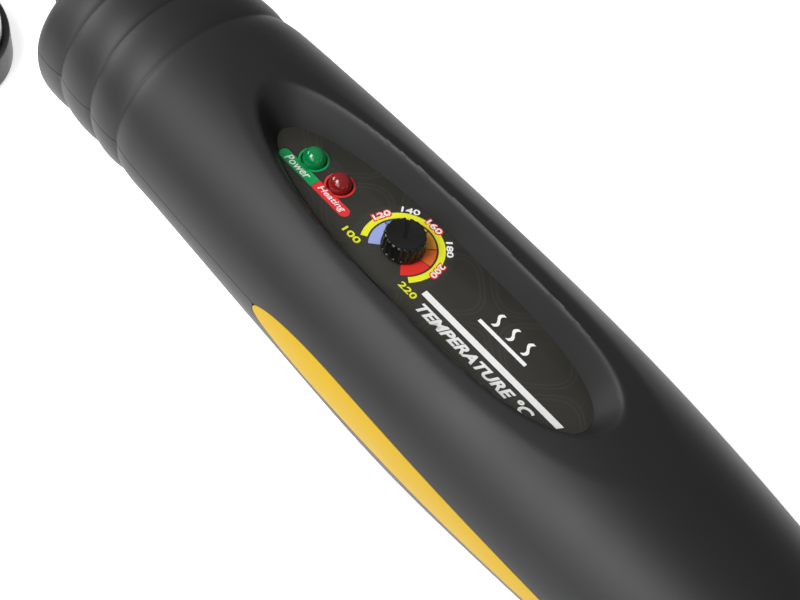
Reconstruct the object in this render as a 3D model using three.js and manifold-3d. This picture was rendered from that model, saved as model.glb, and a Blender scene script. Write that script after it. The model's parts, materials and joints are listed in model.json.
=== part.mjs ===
// An electric sealing iron: a two-part plastic handle with a sunk control panel, a bent steel neck
// and a flat heated shoe. Millimetres. The origin is the centre of the sole's flat underside,
// +X runs to the toe, +Y to the left and +Z up, with the iron resting on its sole and its tail.

import * as THREE from "three";
import { mergeVertices } from "three/addons/utils/BufferGeometryUtils.js";
import Module from "manifold-3d";

const wasm = await Module();
wasm.setup();

// ---- Driving dimensions --------------------------------------------------------------------------

const GAP = 0.3; // clearance between pieces that touch
const TILT = THREE.MathUtils.degToRad(13.1); // rise of the handle from its tail to its nose
const DIAL_BEHIND = 183; // from the sole's centre back to the dial's centre

// The handle's own frame has its origin at the dial's centre on the panel, x towards the tail,
// y to the right and z out of the panel.
const NOSE = -78.5; // front end of the handle
const TAIL = 100; // rear end of the handle
const WIDEST = 21.6; // where the handle is thickest
const BODY = { half: 23.4, height: 17.3, centre: -10 }; // its section there, over its middle line
const TO_NOSE = { reach: 75, half: 2.4, height: 0.3, centre: -0.2 }; // what the section loses
const TO_TAIL = { reach: 51, half: 2.55, height: 1.6, centre: -0.3 };
// Depth of the underside below the middle line, by station: a waist behind the ribs and a belly.
const UNDERSIDE = [
  [-78.5, 21], [-60, 19.2], [-40, 16], [-10, 19.2], [20, 23.5], [50, 21.5], [76, 19.4], [100, 18.4],
];
const TAIL_ROUND = { length: 14, share: 0.82 }; // rounding of the rear end
const GROOVES = [-70.4, -61.5, -52.7]; // grip grooves round the nose
const GROOVE_DEPTH = 0.85;
const RIB_LEAN = { slope: -0.12, fade: 32 }; // the ribs lean back towards their underside
const WALL = 2.8; // thickness of the handle's shells
const PARTING = -9.8; // height of the seam between the shells

const PANEL = { nose: -31.8, middle: 2, tail: 45.4, half: 8.75 }; // the label's outline
const RIM = { nose: -35.5, middle: 2, tail: 48.5, half: 11.5 }; // the recess at its mouth
const RIM_HEIGHT = 4.5; // the mouth's height above the label
const LABEL = 0.6; // thickness of the label
const TUB_WALL = 2; // wall round and under the recess
// The shallow dish round the recess: its height over the label, and its rise and fall to its edge.
const DISH = { middle: 7.75, length: 54.45, half: 13.65, height: 5.97, fall: 2.07 };
const DISH_RISE = { nose: 0.95, tail: 0.12 };

// The side inserts' outline, which falls a little towards the tail.
const INSERT = { nose: -10.6, middle: 12, tail: 72, half: 4.3 };
const INSERT_LIE = { centre: -11.7, fall: 0.04, thickness: 1.2 };

const LED_PLACES = { power_led: -23.3, heating_led: -16.4 }; // distance from the dial
const LED = { lens: 2.1, hole: 2.4, flange: 2.6, top: 0.4 };
const KNOB = {
  radius: 3.9, top: 3.65, height: 3.5, flutes: 18, flute: 0.2, slot: 0.7, width: 0.7, back: 2.6,
};
const KNOB_AT = THREE.MathUtils.degToRad(131); // the pointer's bearing, at about 140 on the dial
const SHAFT = { radius: 1.5, bore: 1.56, from: -6.7, to: 2.2 };

const BOARD = { nose: -33, tail: 35, half: 13, top: -8.2, thickness: 1.6 };
const CASE_SCREWS = { front: { x: -43, y: 9.5 }, rear: { x: 73, y: 8 } };
const CASE_SCREW = { shank: 1.35, head: 2.7, seat: -19.3, tip: -1, boss: 3.4 };
const BOARD_POSTS = { front: { x: -28, y: 10 }, rear: { x: 30, y: -10 } };
const BOARD_SCREW = { shank: 0.95, head: 1.9, tip: -15, post: 2.6 };
const SCREW_HEAD = { rim: 0.9, crown: 1.7, round: 0.8, slot: 0.3 };
const ON_BOARD = { control_chip: { x: [10, 20], y: [-9, -2], tall: 1.6, finish: "component" } };
const UNDER_BOARD = {
  sensor_connector: { x: [-24, -17], y: [4, 10], tall: 5, finish: "terminal" },
  triac: { x: [3, 18], y: [0.5, 10.5], tall: 4.5, finish: "component" },
  terminal_block: { x: [20, 33], y: [-6.5, -2.5], tall: 7, finish: "terminal" },
};
const RESISTOR = { radius: 1.8, from: 14, to: 27, y: 6 };
const CAPACITOR = { radius: 4, from: -22, to: -8, y: -6 };
const HEAT_SINK = { x: [0, 24], y: [-2, 13], z: [-16.8, -15.3] };
const FINS = { places: [-1.4, 2.6, 6.6, 10.6], width: 1.2, bottom: -18.4 };
const POTENTIOMETER = { half: 5, play: 0.4 }; // play under the recess's floor
const CLAMP = { x: 83, y: 7, half: 3, top: -6.8, bottom: -9.3, screw: -17 }; // cord clamp in the tail
const INLET = { x: TAIL, z: -11.2, neck: 4.8, flange: 7, bore: 1.9 };

const NECK = { radius: 4.5, bore: 3.6, centre: -11, inside: -58, straight: 50, bend: 26 };
const NECK_DROP = THREE.MathUtils.degToRad(65); // slope of the neck where it meets the shoe
const LEADS = { heater_lead_1: -2.3, sensor_lead: 0, heater_lead_2: 2.3 }; // side steps in the neck
const LEAD = { radius: 0.9, early: 21, late: 9 };
const COLLAR = { hole: 10.1, flange: 12.6, inner: 11.1, tip: 7, length: 9 };

const SOLE = { toe: 48, middle: -4, heel: -48, half: 21, thickness: 7, chamfer: 1 };
const POCKET = { from: -28, to: 24, half: 11.5, floor: 3.4 }; // for the heating element
const COVER = { inset: 1.6, top: 16, wall: 1.4 };
const SHOE_SCREWS = [-33.5, 29.5];
const SHOE_SCREW = { shank: 1.5, head: 2.8, seat: 3.4 };
const ELEMENT = { inset: 2, half: 8, thickness: 1.4 };
const PLATE = { inset: 3, half: 7.6, low: 2, high: 3.2 }; // pressure plate over the element
const FLANGE = { thickness: 2.4, reach: 17, half: 8.5, screws: 12.6 }; // foot of the neck's socket
const FLANGE_TOP = COVER.top + GAP + FLANGE.thickness;
const SLEEVE = { wall: 2, low: -8, high: 13 };

const FINISHES = {
  soft_black: { color: 0x2e2e2e, roughness: 0.62, metalness: 0 },
  yellow: { color: 0xe9bd33, roughness: 0.5, metalness: 0 },
  label: { color: 0x2b2a26, roughness: 0.35, metalness: 0 },
  green_lens: { color: 0x0e8c46, roughness: 0.1, metalness: 0 },
  red_lens: { color: 0xc01515, roughness: 0.1, metalness: 0 },
  gloss_black: { color: 0x0b0b0b, roughness: 0.2, metalness: 0 },
  board: { color: 0x1f5a35, roughness: 0.5, metalness: 0 },
  component: { color: 0x1b1b1e, roughness: 0.5, metalness: 0 },
  can: { color: 0x26305a, roughness: 0.35, metalness: 0 },
  terminal: { color: 0x2c7a4a, roughness: 0.5, metalness: 0 },
  resin: { color: 0x3a2519, roughness: 0.55, metalness: 0 },
  rubber: { color: 0x171717, roughness: 0.8, metalness: 0 },
  steel: { color: 0xb4b6ba, roughness: 0.3, metalness: 1 },
  zinc: { color: 0xa8a9a6, roughness: 0.4, metalness: 1 },
  aluminium: { color: 0xc4c6c9, roughness: 0.4, metalness: 1 },
  non_stick: { color: 0x3b3d3c, roughness: 0.45, metalness: 0.3 },
  ceramic: { color: 0xe6e0d2, roughness: 0.7, metalness: 0 },
  sleeve: { color: 0xd9d5cb, roughness: 0.6, metalness: 0 },
};

// ---- Solids --------------------------------------------------------------------------------------

// A closed geometry as a solid with its faces turned outwards.
function solid(geometry) {
  const bare = geometry.clone();
  bare.deleteAttribute("normal");
  bare.deleteAttribute("uv");
  const merged = mergeVertices(bare, 1e-4);
  const corners = merged.index.array;
  const kept = [];
  for (let i = 0; i < corners.length; i += 3) {
    const [a, b, c] = corners.subarray(i, i + 3);
    if (a !== b && b !== c && c !== a) kept.push([a, b, c]);
  }
  const build = (triangles) =>
    new wasm.Manifold(
      new wasm.Mesh({
        numProp: 3,
        vertProperties: merged.attributes.position.array,
        triVerts: new Uint32Array(triangles.flat()),
      }),
    );
  const made = build(kept);
  return made.volume() > 0 ? made : build(kept.map(([a, b, c]) => [a, c, b]));
}

function geometryOf(shape) {
  const mesh = shape.getMesh();
  const geometry = new THREE.BufferGeometry();
  geometry.setAttribute("position", new THREE.BufferAttribute(mesh.vertProperties, 3));
  geometry.setIndex(new THREE.BufferAttribute(mesh.triVerts, 1));
  const facets = geometry.toNonIndexed();
  facets.computeVertexNormals();
  return facets;
}

function addPiece(group, name, shape, finish) {
  const mesh = new THREE.Mesh(
    geometryOf(shape),
    new THREE.MeshStandardMaterial(FINISHES[finish]),
  );
  mesh.name = name;
  group.add(mesh);
}

const joined = (shapes) => shapes.reduce((sum, shape) => sum.add(shape));

// A solid through a row of closed rings that have equally many points.
function loft(rings) {
  const count = rings[0].length;
  const middle = (ring) =>
    ring.reduce((sum, p) => sum.add(p), new THREE.Vector3()).divideScalar(count);
  const points = [...rings.flat(), middle(rings[0]), middle(rings.at(-1))];
  const last = (rings.length - 1) * count;
  const faces = [];
  for (let j = 0; j < count; j++) {
    const next = (j + 1) % count;
    for (let i = 0; i < last; i += count)
      faces.push(i + j, i + next, i + count + next, i + j, i + count + next, i + count + j);
    faces.push(points.length - 2, next, j);
    faces.push(points.length - 1, last + j, last + next);
  }
  const geometry = new THREE.BufferGeometry().setFromPoints(points);
  geometry.setIndex(faces);
  return solid(geometry);
}

function box(x, y, z) {
  const geometry = new THREE.BoxGeometry(x[1] - x[0], y[1] - y[0], z[1] - z[0]);
  const middle = (range) => (range[0] + range[1]) / 2;
  return solid(geometry.translate(middle(x), middle(y), middle(z)));
}

// A turned solid: profile holds [radius, distance along the axis], from axis to axis or closed.
function turned(profile, { axis = "z", at = [0, 0, 0], sides = 24 } = {}) {
  const outline = profile.map(([radius, along]) => new THREE.Vector2(radius, along));
  const geometry = new THREE.LatheGeometry(outline, sides);
  if (axis === "z") geometry.rotateX(Math.PI / 2);
  if (axis === "x") geometry.rotateZ(-Math.PI / 2);
  return solid(geometry.translate(...at));
}

const rod = (radius, from, to, options) =>
  turned([[0, from], [radius, from], [radius, to], [0, to]], options);

// Points round an egg-shaped outline: x runs from nose to tail, half is the greatest half-width.
function eggOutline({ nose, middle, tail, half }, grow = 0, powers = [2, 4, 2], count = 36) {
  return Array.from({ length: count }, (_, i) => {
    const turn = (2 * Math.PI * i) / count;
    const along = Math.cos(turn);
    const across = Math.sin(turn);
    const reach = along > 0 ? tail - middle + grow : middle - nose + grow;
    const power = 2 / (along > 0 ? powers[1] : powers[0]);
    return new THREE.Vector2(
      middle + Math.sign(along) * reach * Math.abs(along) ** power,
      Math.sign(across) * (half + grow) * Math.abs(across) ** (2 / powers[2]),
    );
  });
}

const raise = (outline, z) => outline.map((p) => new THREE.Vector3(p.x, p.y, z));

const SIDES = { outer: 30, inner: 24 }; // flats round the handle's outer and inner forms

// ---- The handle's outer form ---------------------------------------------------------------------

// How far the surface lies under the plain form: the grooves and ribs of the nose.
function ribOffset(x) {
  const bulge = (share) => GROOVE_DEPTH * (Math.sin(Math.PI * share) ** 0.7 - 1);
  if (x < GROOVES[0]) {
    const share = (GROOVES[0] - x) / (GROOVES[0] - NOSE);
    return share < 0.5 ? bulge(share) : -1.6 * (2 * share - 1) ** 4;
  }
  for (let i = 1; i < GROOVES.length; i++)
    if (x < GROOVES[i]) return bulge((x - GROOVES[i - 1]) / (GROOVES[i] - GROOVES[i - 1]));
  const share = (x - GROOVES.at(-1)) / 12;
  return share < 0.5 ? bulge(share) : 0;
}

// The underside's depth at a station, on a smooth curve through the given ones.
function underside(x) {
  const last = UNDERSIDE.length - 1;
  const slope = (i) => {
    const [x0, depth0] = UNDERSIDE[Math.max(i - 1, 0)];
    const [x1, depth1] = UNDERSIDE[Math.min(i + 1, last)];
    return (depth1 - depth0) / (x1 - x0);
  };
  const i = Math.max(0, UNDERSIDE.findLastIndex(([station], k) => station <= x && k < last));
  const [[x0, depth0], [x1, depth1]] = [UNDERSIDE[i], UNDERSIDE[i + 1]];
  const step = x1 - x0;
  const t = (x - x0) / step;
  return (
    (2 * t ** 3 - 3 * t ** 2 + 1) * depth0 +
    (3 * t ** 2 - 2 * t ** 3) * depth1 +
    (t ** 3 - 2 * t ** 2 + t) * step * slope(i) +
    (t ** 3 - t ** 2) * step * slope(i + 1)
  );
}

function section(x) {
  const side = x < WIDEST ? TO_NOSE : TO_TAIL;
  const loss = ((x - WIDEST) / side.reach) ** 2;
  const round = Math.max(0, (x - TAIL) / TAIL_ROUND.length + 1) * TAIL_ROUND.share;
  const share = Math.sqrt(1 - round * round);
  return {
    half: (BODY.half - side.half * loss) * share,
    height: (BODY.height - side.height * loss) * share,
    depth: underside(x) * share,
    centre: BODY.centre + side.centre * loss,
  };
}

function dishHeight(x, y) {
  const rise = x < DISH.middle ? DISH_RISE.nose : DISH_RISE.tail;
  return DISH.height + rise * ((x - DISH.middle) / DISH.length) ** 2 - DISH.fall * (y / DISH.half) ** 2;
}

function bodyRing(x, inset, sides, ribbed) {
  const { half, height, depth, centre } = section(x);
  const under = ribbed ? ribOffset(x) - inset : -inset;
  const fade = x < GROOVES[1] ? GROOVES[1] - NOSE : RIB_LEAN.fade;
  const lean = ribbed ? RIB_LEAN.slope * Math.max(0, 1 - Math.abs(x - GROOVES[1]) / fade) : 0;
  return Array.from({ length: sides }, (_, i) => {
    const turn = (2 * Math.PI * (i + 0.5)) / sides;
    const y = (half + under) * Math.cos(turn);
    const z = centre + ((turn < Math.PI ? height : depth) + under) * Math.sin(turn);
    return new THREE.Vector3(x + lean * z, y, Math.min(z, dishHeight(x, y) - inset));
  });
}

function outerStations() {
  const stations = [NOSE, NOSE + 0.5, NOSE + 1.6, NOSE + 3.3, GROOVES[0] - 1, GROOVES[0]];
  for (let i = 1; i < GROOVES.length; i++) {
    const pitch = GROOVES[i] - GROOVES[i - 1];
    for (const share of [0.12, 0.35, 0.65, 0.88, 1]) stations.push(GROOVES[i - 1] + share * pitch);
  }
  for (const step of [0.8, 2.5, 6]) stations.push(GROOVES.at(-1) + step);
  for (let x = -38; x < TAIL - TAIL_ROUND.length; x += 12) stations.push(x);
  for (const step of [12, 8, 5, 2.5, 1, 0]) stations.push(TAIL - step);
  return stations;
}

const STATIONS = outerStations();
const outerForm = loft(STATIONS.map((x) => bodyRing(x, 0, SIDES.outer, true)));
const DIAL_HEIGHT = -Math.min(
  ...STATIONS.flatMap((x) =>
    bodyRing(x, 0, SIDES.outer, true).map((p) => p.z * Math.cos(TILT) - p.x * Math.sin(TILT)),
  ),
);

// The form shrunk by an inset, between two stations.
function innerForm(inset, from, to) {
  const rings = [];
  const steps = 10;
  for (let i = 0; i <= steps; i++)
    rings.push(bodyRing(from + ((to - from) * i) / steps, inset, SIDES.inner, false));
  return loft(rings);
}

const above = box([NOSE - 5, TAIL + 5], [-40, 40], [PARTING + GAP / 2, 40]);
const below = box([NOSE - 5, TAIL + 5], [-40, 40], [-60, PARTING - GAP / 2]);
const cavity = innerForm(WALL, NOSE + WALL, TAIL - WALL);
const hull = outerForm.subtract(cavity);

// ---- Recess, insert slots and holes --------------------------------------------------------------

// An egg-shaped cone from the label's outline through the recess's mouth and on upwards.
function recessCone(floor, grow) {
  const top = 2 * RIM_HEIGHT;
  const low = eggOutline(PANEL, grow);
  const high = eggOutline(RIM, grow);
  const spread = high.map((p, i) => p.clone().sub(low[i]).multiplyScalar(2).add(low[i]));
  return loft([raise(low, floor), raise(low, 0), raise(spread, top)]);
}

function insertPrism(grow) {
  const outline = eggOutline(INSERT, grow, [2.5, 2, 2], 32);
  const middleLine = (x) => INSERT_LIE.centre - INSERT_LIE.fall * (x - INSERT.middle);
  const ring = (y) => outline.map((p) => new THREE.Vector3(p.x, y, middleLine(p.x) + p.y));
  return loft([ring(-40), ring(40)]);
}

const slotForm = insertPrism(GAP).subtract(
  innerForm(INSERT_LIE.thickness + GAP, NOSE + 5, TAIL - 5),
);
const mirrored = (spot) => [
  { x: spot.x, y: spot.y },
  { x: spot.x, y: -spot.y },
];
const caseScrewSpots = Object.values(CASE_SCREWS).flatMap(mirrored);
const boardPostSpots = Object.values(BOARD_POSTS).flatMap(mirrored);
const boardScrewSpots = Object.values(BOARD_POSTS);
const clampSpots = mirrored(CLAMP);
const upright = (radius, from, to, spot, sides = 12) =>
  rod(radius, from, to, { at: [spot.x, spot.y, 0], sides });

const noseHole = rod(COLLAR.hole + GAP, NOSE - 4, NOSE + 6, { axis: "x", at: [0, 0, NECK.centre] });
const tailHole = rod(INLET.neck + GAP, TAIL - 6, TAIL + 4, { axis: "x", at: [0, 0, INLET.z] });

function upperShell() {
  const tub = recessCone(-LABEL - GAP - TUB_WALL, GAP + TUB_WALL).intersect(outerForm);
  const bosses = caseScrewSpots.map((spot) => upright(CASE_SCREW.boss, -20, 20, spot));
  const shell = hull.add(tub).add(joined(bosses).intersect(outerForm)).intersect(above);
  const holes = [
    recessCone(-LABEL - GAP, GAP),
    slotForm,
    noseHole,
    tailHole,
    upright(SHAFT.radius + 0.7, -5, 1, { x: 0, y: 0 }),
    ...Object.values(LED_PLACES).map((x) => upright(LED.hole, -5, 1, { x, y: 0 }, 16)),
    ...caseScrewSpots.map((spot) =>
      upright(CASE_SCREW.shank + GAP, PARTING - 2, CASE_SCREW.tip + GAP, spot),
    ),
  ];
  return shell.subtract(joined(holes));
}

function lowerShell() {
  const clampTop = CLAMP.bottom - GAP;
  const clampPosts = clampSpots.map((spot) => upright(BOARD_SCREW.post, -40, clampTop, spot));
  const boardTop = BOARD.top - BOARD.thickness - GAP;
  const posts = [
    ...caseScrewSpots.map((spot) => upright(CASE_SCREW.boss + 0.6, -40, PARTING, spot)),
    ...boardPostSpots.map((spot) => upright(BOARD_SCREW.post, -40, boardTop, spot)),
    ...clampPosts,
  ];
  const shell = hull.add(joined(posts).intersect(outerForm)).intersect(below);
  const holes = [
    slotForm,
    noseHole,
    tailHole,
    ...caseScrewSpots.map((spot) => upright(CASE_SCREW.head + GAP, -40, CASE_SCREW.seat + GAP, spot)),
    ...caseScrewSpots.map((spot) => upright(CASE_SCREW.shank + GAP, -40, PARTING + 2, spot)),
    ...boardScrewSpots.map((spot) =>
      upright(BOARD_SCREW.shank + GAP, BOARD_SCREW.tip - GAP, BOARD.top, spot),
    ),
    ...clampSpots.map((spot) => upright(BOARD_SCREW.shank + GAP, CLAMP.screw - GAP, -9, spot)),
  ];
  return shell.subtract(joined(holes));
}

// ---- Control panel -------------------------------------------------------------------------------

function labelPlate() {
  const plate = loft([raise(eggOutline(PANEL), -LABEL), raise(eggOutline(PANEL), 0)]);
  const holes = Object.values(LED_PLACES).map((x) => upright(LED.hole, -5, 1, { x, y: 0 }, 16));
  return plate.subtract(joined([...holes, upright(SHAFT.radius + 0.7, -5, 1, { x: 0, y: 0 })]));
}

// A light-emitting diode: flange under the recess, domed lens over the label, two leads below.
function led(x) {
  const under = -LABEL - GAP - TUB_WALL - GAP;
  const profile = [[0, under - 1], [LED.flange, under - 1], [LED.flange, under], [LED.lens, under]];
  for (let i = 0; i <= 4; i++) {
    const rise = (Math.PI / 2) * (i / 4);
    profile.push([LED.lens * Math.cos(rise), LED.top + LED.lens * Math.sin(rise)]);
  }
  const leads = [-1.27, 1.27].map((y) =>
    box([x - 0.25, x + 0.25], [y - 0.25, y + 0.25], [BOARD.top + GAP, under - 0.5]),
  );
  return joined([turned(profile, { at: [x, 0, 0], sides: 16 }), ...leads]);
}

function knob() {
  const ring = (radius, z) =>
    Array.from({ length: KNOB.flutes * 3 }, (_, i) => {
      const flute = i % 3 === 0 ? KNOB.flute : 0;
      const turn = (2 * Math.PI * i) / (KNOB.flutes * 3);
      return new THREE.Vector3(
        (radius - flute) * Math.cos(turn),
        (radius - flute) * Math.sin(turn),
        z,
      );
    });
  const top = GAP + KNOB.height;
  const form = loft([
    ring(KNOB.radius, GAP),
    ring(KNOB.top, top - 0.4),
    ring(KNOB.top - 0.4, top),
  ]);
  const reach = KNOB.radius + 1;
  const slot = new THREE.BoxGeometry(reach, KNOB.width, 2 * KNOB.slot);
  slot.translate(reach / 2 - KNOB.back, 0, top).rotateZ(KNOB_AT);
  const bore = rod(SHAFT.radius + GAP, 0, SHAFT.to + GAP, { sides: 16 });
  return form.subtract(bore).subtract(solid(slot));
}

// ---- Circuit board and what stands on it ---------------------------------------------------------

const boardUnder = BOARD.top - BOARD.thickness - GAP; // top of the pieces that hang below it
const boardOver = BOARD.top + GAP; // foot of the pieces that stand on it

function circuitBoard() {
  const board = box([BOARD.nose, BOARD.tail], [-BOARD.half, BOARD.half], [
    BOARD.top - BOARD.thickness,
    BOARD.top,
  ]);
  const holes = boardScrewSpots.map((spot) => upright(BOARD_SCREW.shank + GAP, -12, -5, spot));
  return board.subtract(joined(holes));
}

function potentiometer() {
  const { half, play } = POTENTIOMETER;
  const top = -LABEL - GAP - TUB_WALL - play;
  const body = box([-half, half], [-half, half], [boardOver, top]);
  return body.subtract(upright(SHAFT.bore, SHAFT.from - 0.1, 0, { x: 0, y: 0 }));
}

function heatSink() {
  const plate = box(HEAT_SINK.x, HEAT_SINK.y, HEAT_SINK.z);
  const fins = FINS.places.map((y) =>
    box(HEAT_SINK.x, [y, y + FINS.width], [FINS.bottom, HEAT_SINK.z[0] + 0.8]),
  );
  return joined([plate, ...fins]);
}

// A small rod along the handle, with its side against the board at the height given.
const lyingRod = ({ radius, from, to, y }, z, sides) =>
  rod(radius, from, to, { axis: "x", at: [0, y, z], sides });

function addBoardParts(group) {
  addPiece(group, "circuit_board", circuitBoard(), "board");
  addPiece(group, "dial_potentiometer", potentiometer(), "component");
  for (const [name, { x, y, tall, finish }] of Object.entries(ON_BOARD))
    addPiece(group, name, box(x, y, [boardOver, boardOver + tall]), finish);
  for (const [name, { x, y, tall, finish }] of Object.entries(UNDER_BOARD))
    addPiece(group, name, box(x, y, [boardUnder - tall, boardUnder]), finish);
  const resistor = lyingRod(RESISTOR, boardOver + RESISTOR.radius, 12);
  const capacitor = lyingRod(CAPACITOR, boardUnder - CAPACITOR.radius, 18);
  addPiece(group, "dropper_resistor", resistor, "ceramic");
  addPiece(group, "smoothing_capacitor", capacitor, "can");
  addPiece(group, "heat_sink", heatSink(), "aluminium");
}

// ---- Neck ----------------------------------------------------------------------------------------

const toRow = (x, z) =>
  new THREE.Vector3(
    -DIAL_BEHIND - x * Math.cos(TILT) - z * Math.sin(TILT),
    0,
    DIAL_HEIGHT - x * Math.sin(TILT) + z * Math.cos(TILT),
  );

// The neck's centre line, side mm off the middle plane: out of the nose, round the bend and down.
// Both ends can be run on by early and late mm.
function neckLine(side, early = 0, late = 0) {
  const forward = new THREE.Vector3(Math.cos(TILT), 0, Math.sin(TILT));
  const down = new THREE.Vector3(Math.cos(NECK_DROP), 0, -Math.sin(NECK_DROP));
  const at = (point, way, far) => point.clone().addScaledVector(way, far);
  const start = at(toRow(NECK.inside, NECK.centre), forward, -early);
  const bendStart = at(toRow(NOSE, NECK.centre), forward, NECK.straight);
  const rise = NECK.bend * (Math.sin(TILT) + Math.sin(NECK_DROP));
  const fall = NECK.bend * (Math.cos(TILT) - Math.cos(NECK_DROP));
  const bendEnd = bendStart.clone().add(new THREE.Vector3(rise, 0, -fall));
  const handle = NECK.bend * (4 / 3) * Math.tan((TILT + NECK_DROP) / 4);
  const end = at(bendEnd, down, (bendEnd.z - FLANGE_TOP) / Math.sin(NECK_DROP) + late);
  const line = new THREE.CurvePath();
  const points = [start, bendStart, at(bendStart, forward, handle), at(bendEnd, down, -handle)];
  for (const p of [...points, bendEnd, end]) p.y = side;
  line.add(new THREE.LineCurve3(start, bendStart));
  line.add(new THREE.CubicBezierCurve3(bendStart, points[2], points[3], bendEnd));
  line.add(new THREE.LineCurve3(bendEnd, end));
  return line;
}

const neckFoot = neckLine(0).getPoint(1);

function swept(line, radius, bore, steps, sides) {
  const shape = new THREE.Shape().absarc(0, 0, radius, 0, 2 * Math.PI);
  if (bore) shape.holes.push(new THREE.Path().absarc(0, 0, bore, 0, 2 * Math.PI, true));
  return solid(
    new THREE.ExtrudeGeometry(shape, { extrudePath: line, steps, curveSegments: sides / 2 }),
  );
}

// A socket on the shoe's cover: a flat flange with a slanted sleeve that holds the neck tube.
function neckSocket() {
  const low = COVER.top + GAP;
  const flange = loft([low, FLANGE_TOP].map((z) => raise(eggOutline(SOCKET, 0, [3, 3, 2], 24), z)));
  const slanted = (radius, from, to) => {
    const geometry = new THREE.CylinderGeometry(radius, radius, to - from, 16);
    geometry.translate(0, (from + to) / 2, 0).rotateX(Math.PI / 2).rotateY(NECK_DROP - Math.PI / 2);
    return solid(geometry.translate(neckFoot.x, 0, neckFoot.z));
  };
  const sleeve = slanted(NECK.radius + SLEEVE.wall, SLEEVE.low, SLEEVE.high).intersect(
    box([-60, 60], [-40, 40], [low, 60]),
  );
  const holes = [
    slanted(NECK.radius + GAP, 0, 20),
    slanted(NECK.bore, -12, 1),
    ...socketScrewSpots.map((spot) => upright(SHOE_SCREW.shank + GAP, low - 1, low + 6, spot)),
  ];
  return joined([flange, sleeve]).subtract(joined(holes));
}

const SOCKET = {
  nose: neckFoot.x - FLANGE.reach,
  middle: neckFoot.x,
  tail: neckFoot.x + FLANGE.reach,
  half: FLANGE.half,
};
const socketScrewSpots = [-FLANGE.screws, FLANGE.screws].map((step) => ({ x: neckFoot.x + step, y: 0 }));

function cordGland() {
  const inside = INLET.x - WALL - GAP;
  const outside = INLET.x + GAP;
  return turned(
    [
      [INLET.bore, inside - 2.4],
      [INLET.flange, inside - 2.4],
      [INLET.flange, inside],
      [INLET.neck, inside],
      [INLET.neck, outside],
      [INLET.flange - 0.4, outside],
      [INLET.flange - 0.9, outside + 1.6],
      [INLET.bore + 2, outside + 3],
      [INLET.bore, outside + 3],
      [INLET.bore, inside - 2.4],
    ],
    { axis: "x", at: [0, 0, INLET.z], sides: 16 },
  );
}

function cordClamp() {
  const { x, y, half, bottom, top } = CLAMP;
  const bar = box([x - half, x + half], [-y - half, y + half], [bottom, top]);
  const holes = clampSpots.map((spot) => upright(BOARD_SCREW.shank + GAP, -20, 0, spot, 12));
  return bar.subtract(joined(holes));
}

function noseCollar() {
  const inside = NOSE + WALL + 2 * GAP;
  const face = NOSE - GAP;
  const bore = NECK.radius + GAP;
  return turned(
    [
      [bore, inside + 2.4],
      [COLLAR.inner, inside + 2.4],
      [COLLAR.inner, inside],
      [COLLAR.hole, inside],
      [COLLAR.hole, face],
      [COLLAR.flange, face],
      [COLLAR.flange, face - 2],
      [COLLAR.flange - 1.2, face - 3.2],
      [COLLAR.tip, face - COLLAR.length],
      [bore, face - COLLAR.length],
      [bore, inside + 2.4],
    ],
    { axis: "x", at: [0, 0, NECK.centre], sides: 24 },
  );
}

function neckFlange() {
  const outer = section(GROOVES[1]).height - WALL - 1;
  const bore = NECK.radius + GAP;
  const from = GROOVES[1];
  return turned(
    [[bore, from], [outer, from], [outer, from + 1.6], [bore, from + 1.6], [bore, from]],
    { axis: "x", at: [0, 0, NECK.centre], sides: 18 },
  );
}

// ---- Shoe ----------------------------------------------------------------------------------------

const soleOutline = (grow) =>
  eggOutline({ nose: SOLE.heel, middle: SOLE.middle, tail: SOLE.toe, half: SOLE.half }, grow, [
    3.2, 1.8, 1.8,
  ]);

function shoe() {
  const plate = loft([
    raise(soleOutline(-SOLE.chamfer), 0),
    raise(soleOutline(0), SOLE.chamfer),
    raise(soleOutline(0), SOLE.thickness),
  ]);
  const pocket = box([POCKET.from, POCKET.to], [-POCKET.half, POCKET.half], [POCKET.floor, 20]);
  const threads = SHOE_SCREWS.map((x) =>
    upright(SHOE_SCREW.shank + GAP, POCKET.floor - 1, 20, { x, y: 0 }),
  );
  return plate.subtract(joined([pocket, ...threads]));
}

function coverForm(inset, low, top) {
  const rise = top - SOLE.thickness - GAP;
  const level = (share) => SOLE.thickness + GAP + share * rise;
  return loft([
    raise(soleOutline(-COVER.inset - inset), low),
    raise(soleOutline(-COVER.inset - inset), level(0.25)),
    raise(soleOutline(-COVER.inset - inset - 1), level(0.62)),
    raise(soleOutline(-COVER.inset - inset - 3.2), level(0.9)),
    raise(soleOutline(-COVER.inset - inset - 5.5), top),
  ]);
}

function shoeCover() {
  const low = SOLE.thickness + GAP;
  const shank = SHOE_SCREW.shank + GAP;
  const screws = SHOE_SCREWS.map((x) => upright(shank, 0, 30, { x, y: 0 }));
  const seats = SHOE_SCREWS.map((x) => upright(SHOE_SCREW.seat, low, COVER.top - 1, { x, y: 0 }, 16));
  const wires = upright(NECK.bore, COVER.top - 4, COVER.top + 4, { x: neckFoot.x + 1, y: 0 });
  const socketThreads = socketScrewSpots.map((spot) => upright(shank, COVER.top - 4, 30, spot));
  return coverForm(0, low, COVER.top)
    .subtract(coverForm(COVER.wall, low - 1, COVER.top - COVER.wall))
    .add(joined(seats))
    .subtract(joined([...screws, wires, ...socketThreads]));
}

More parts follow.
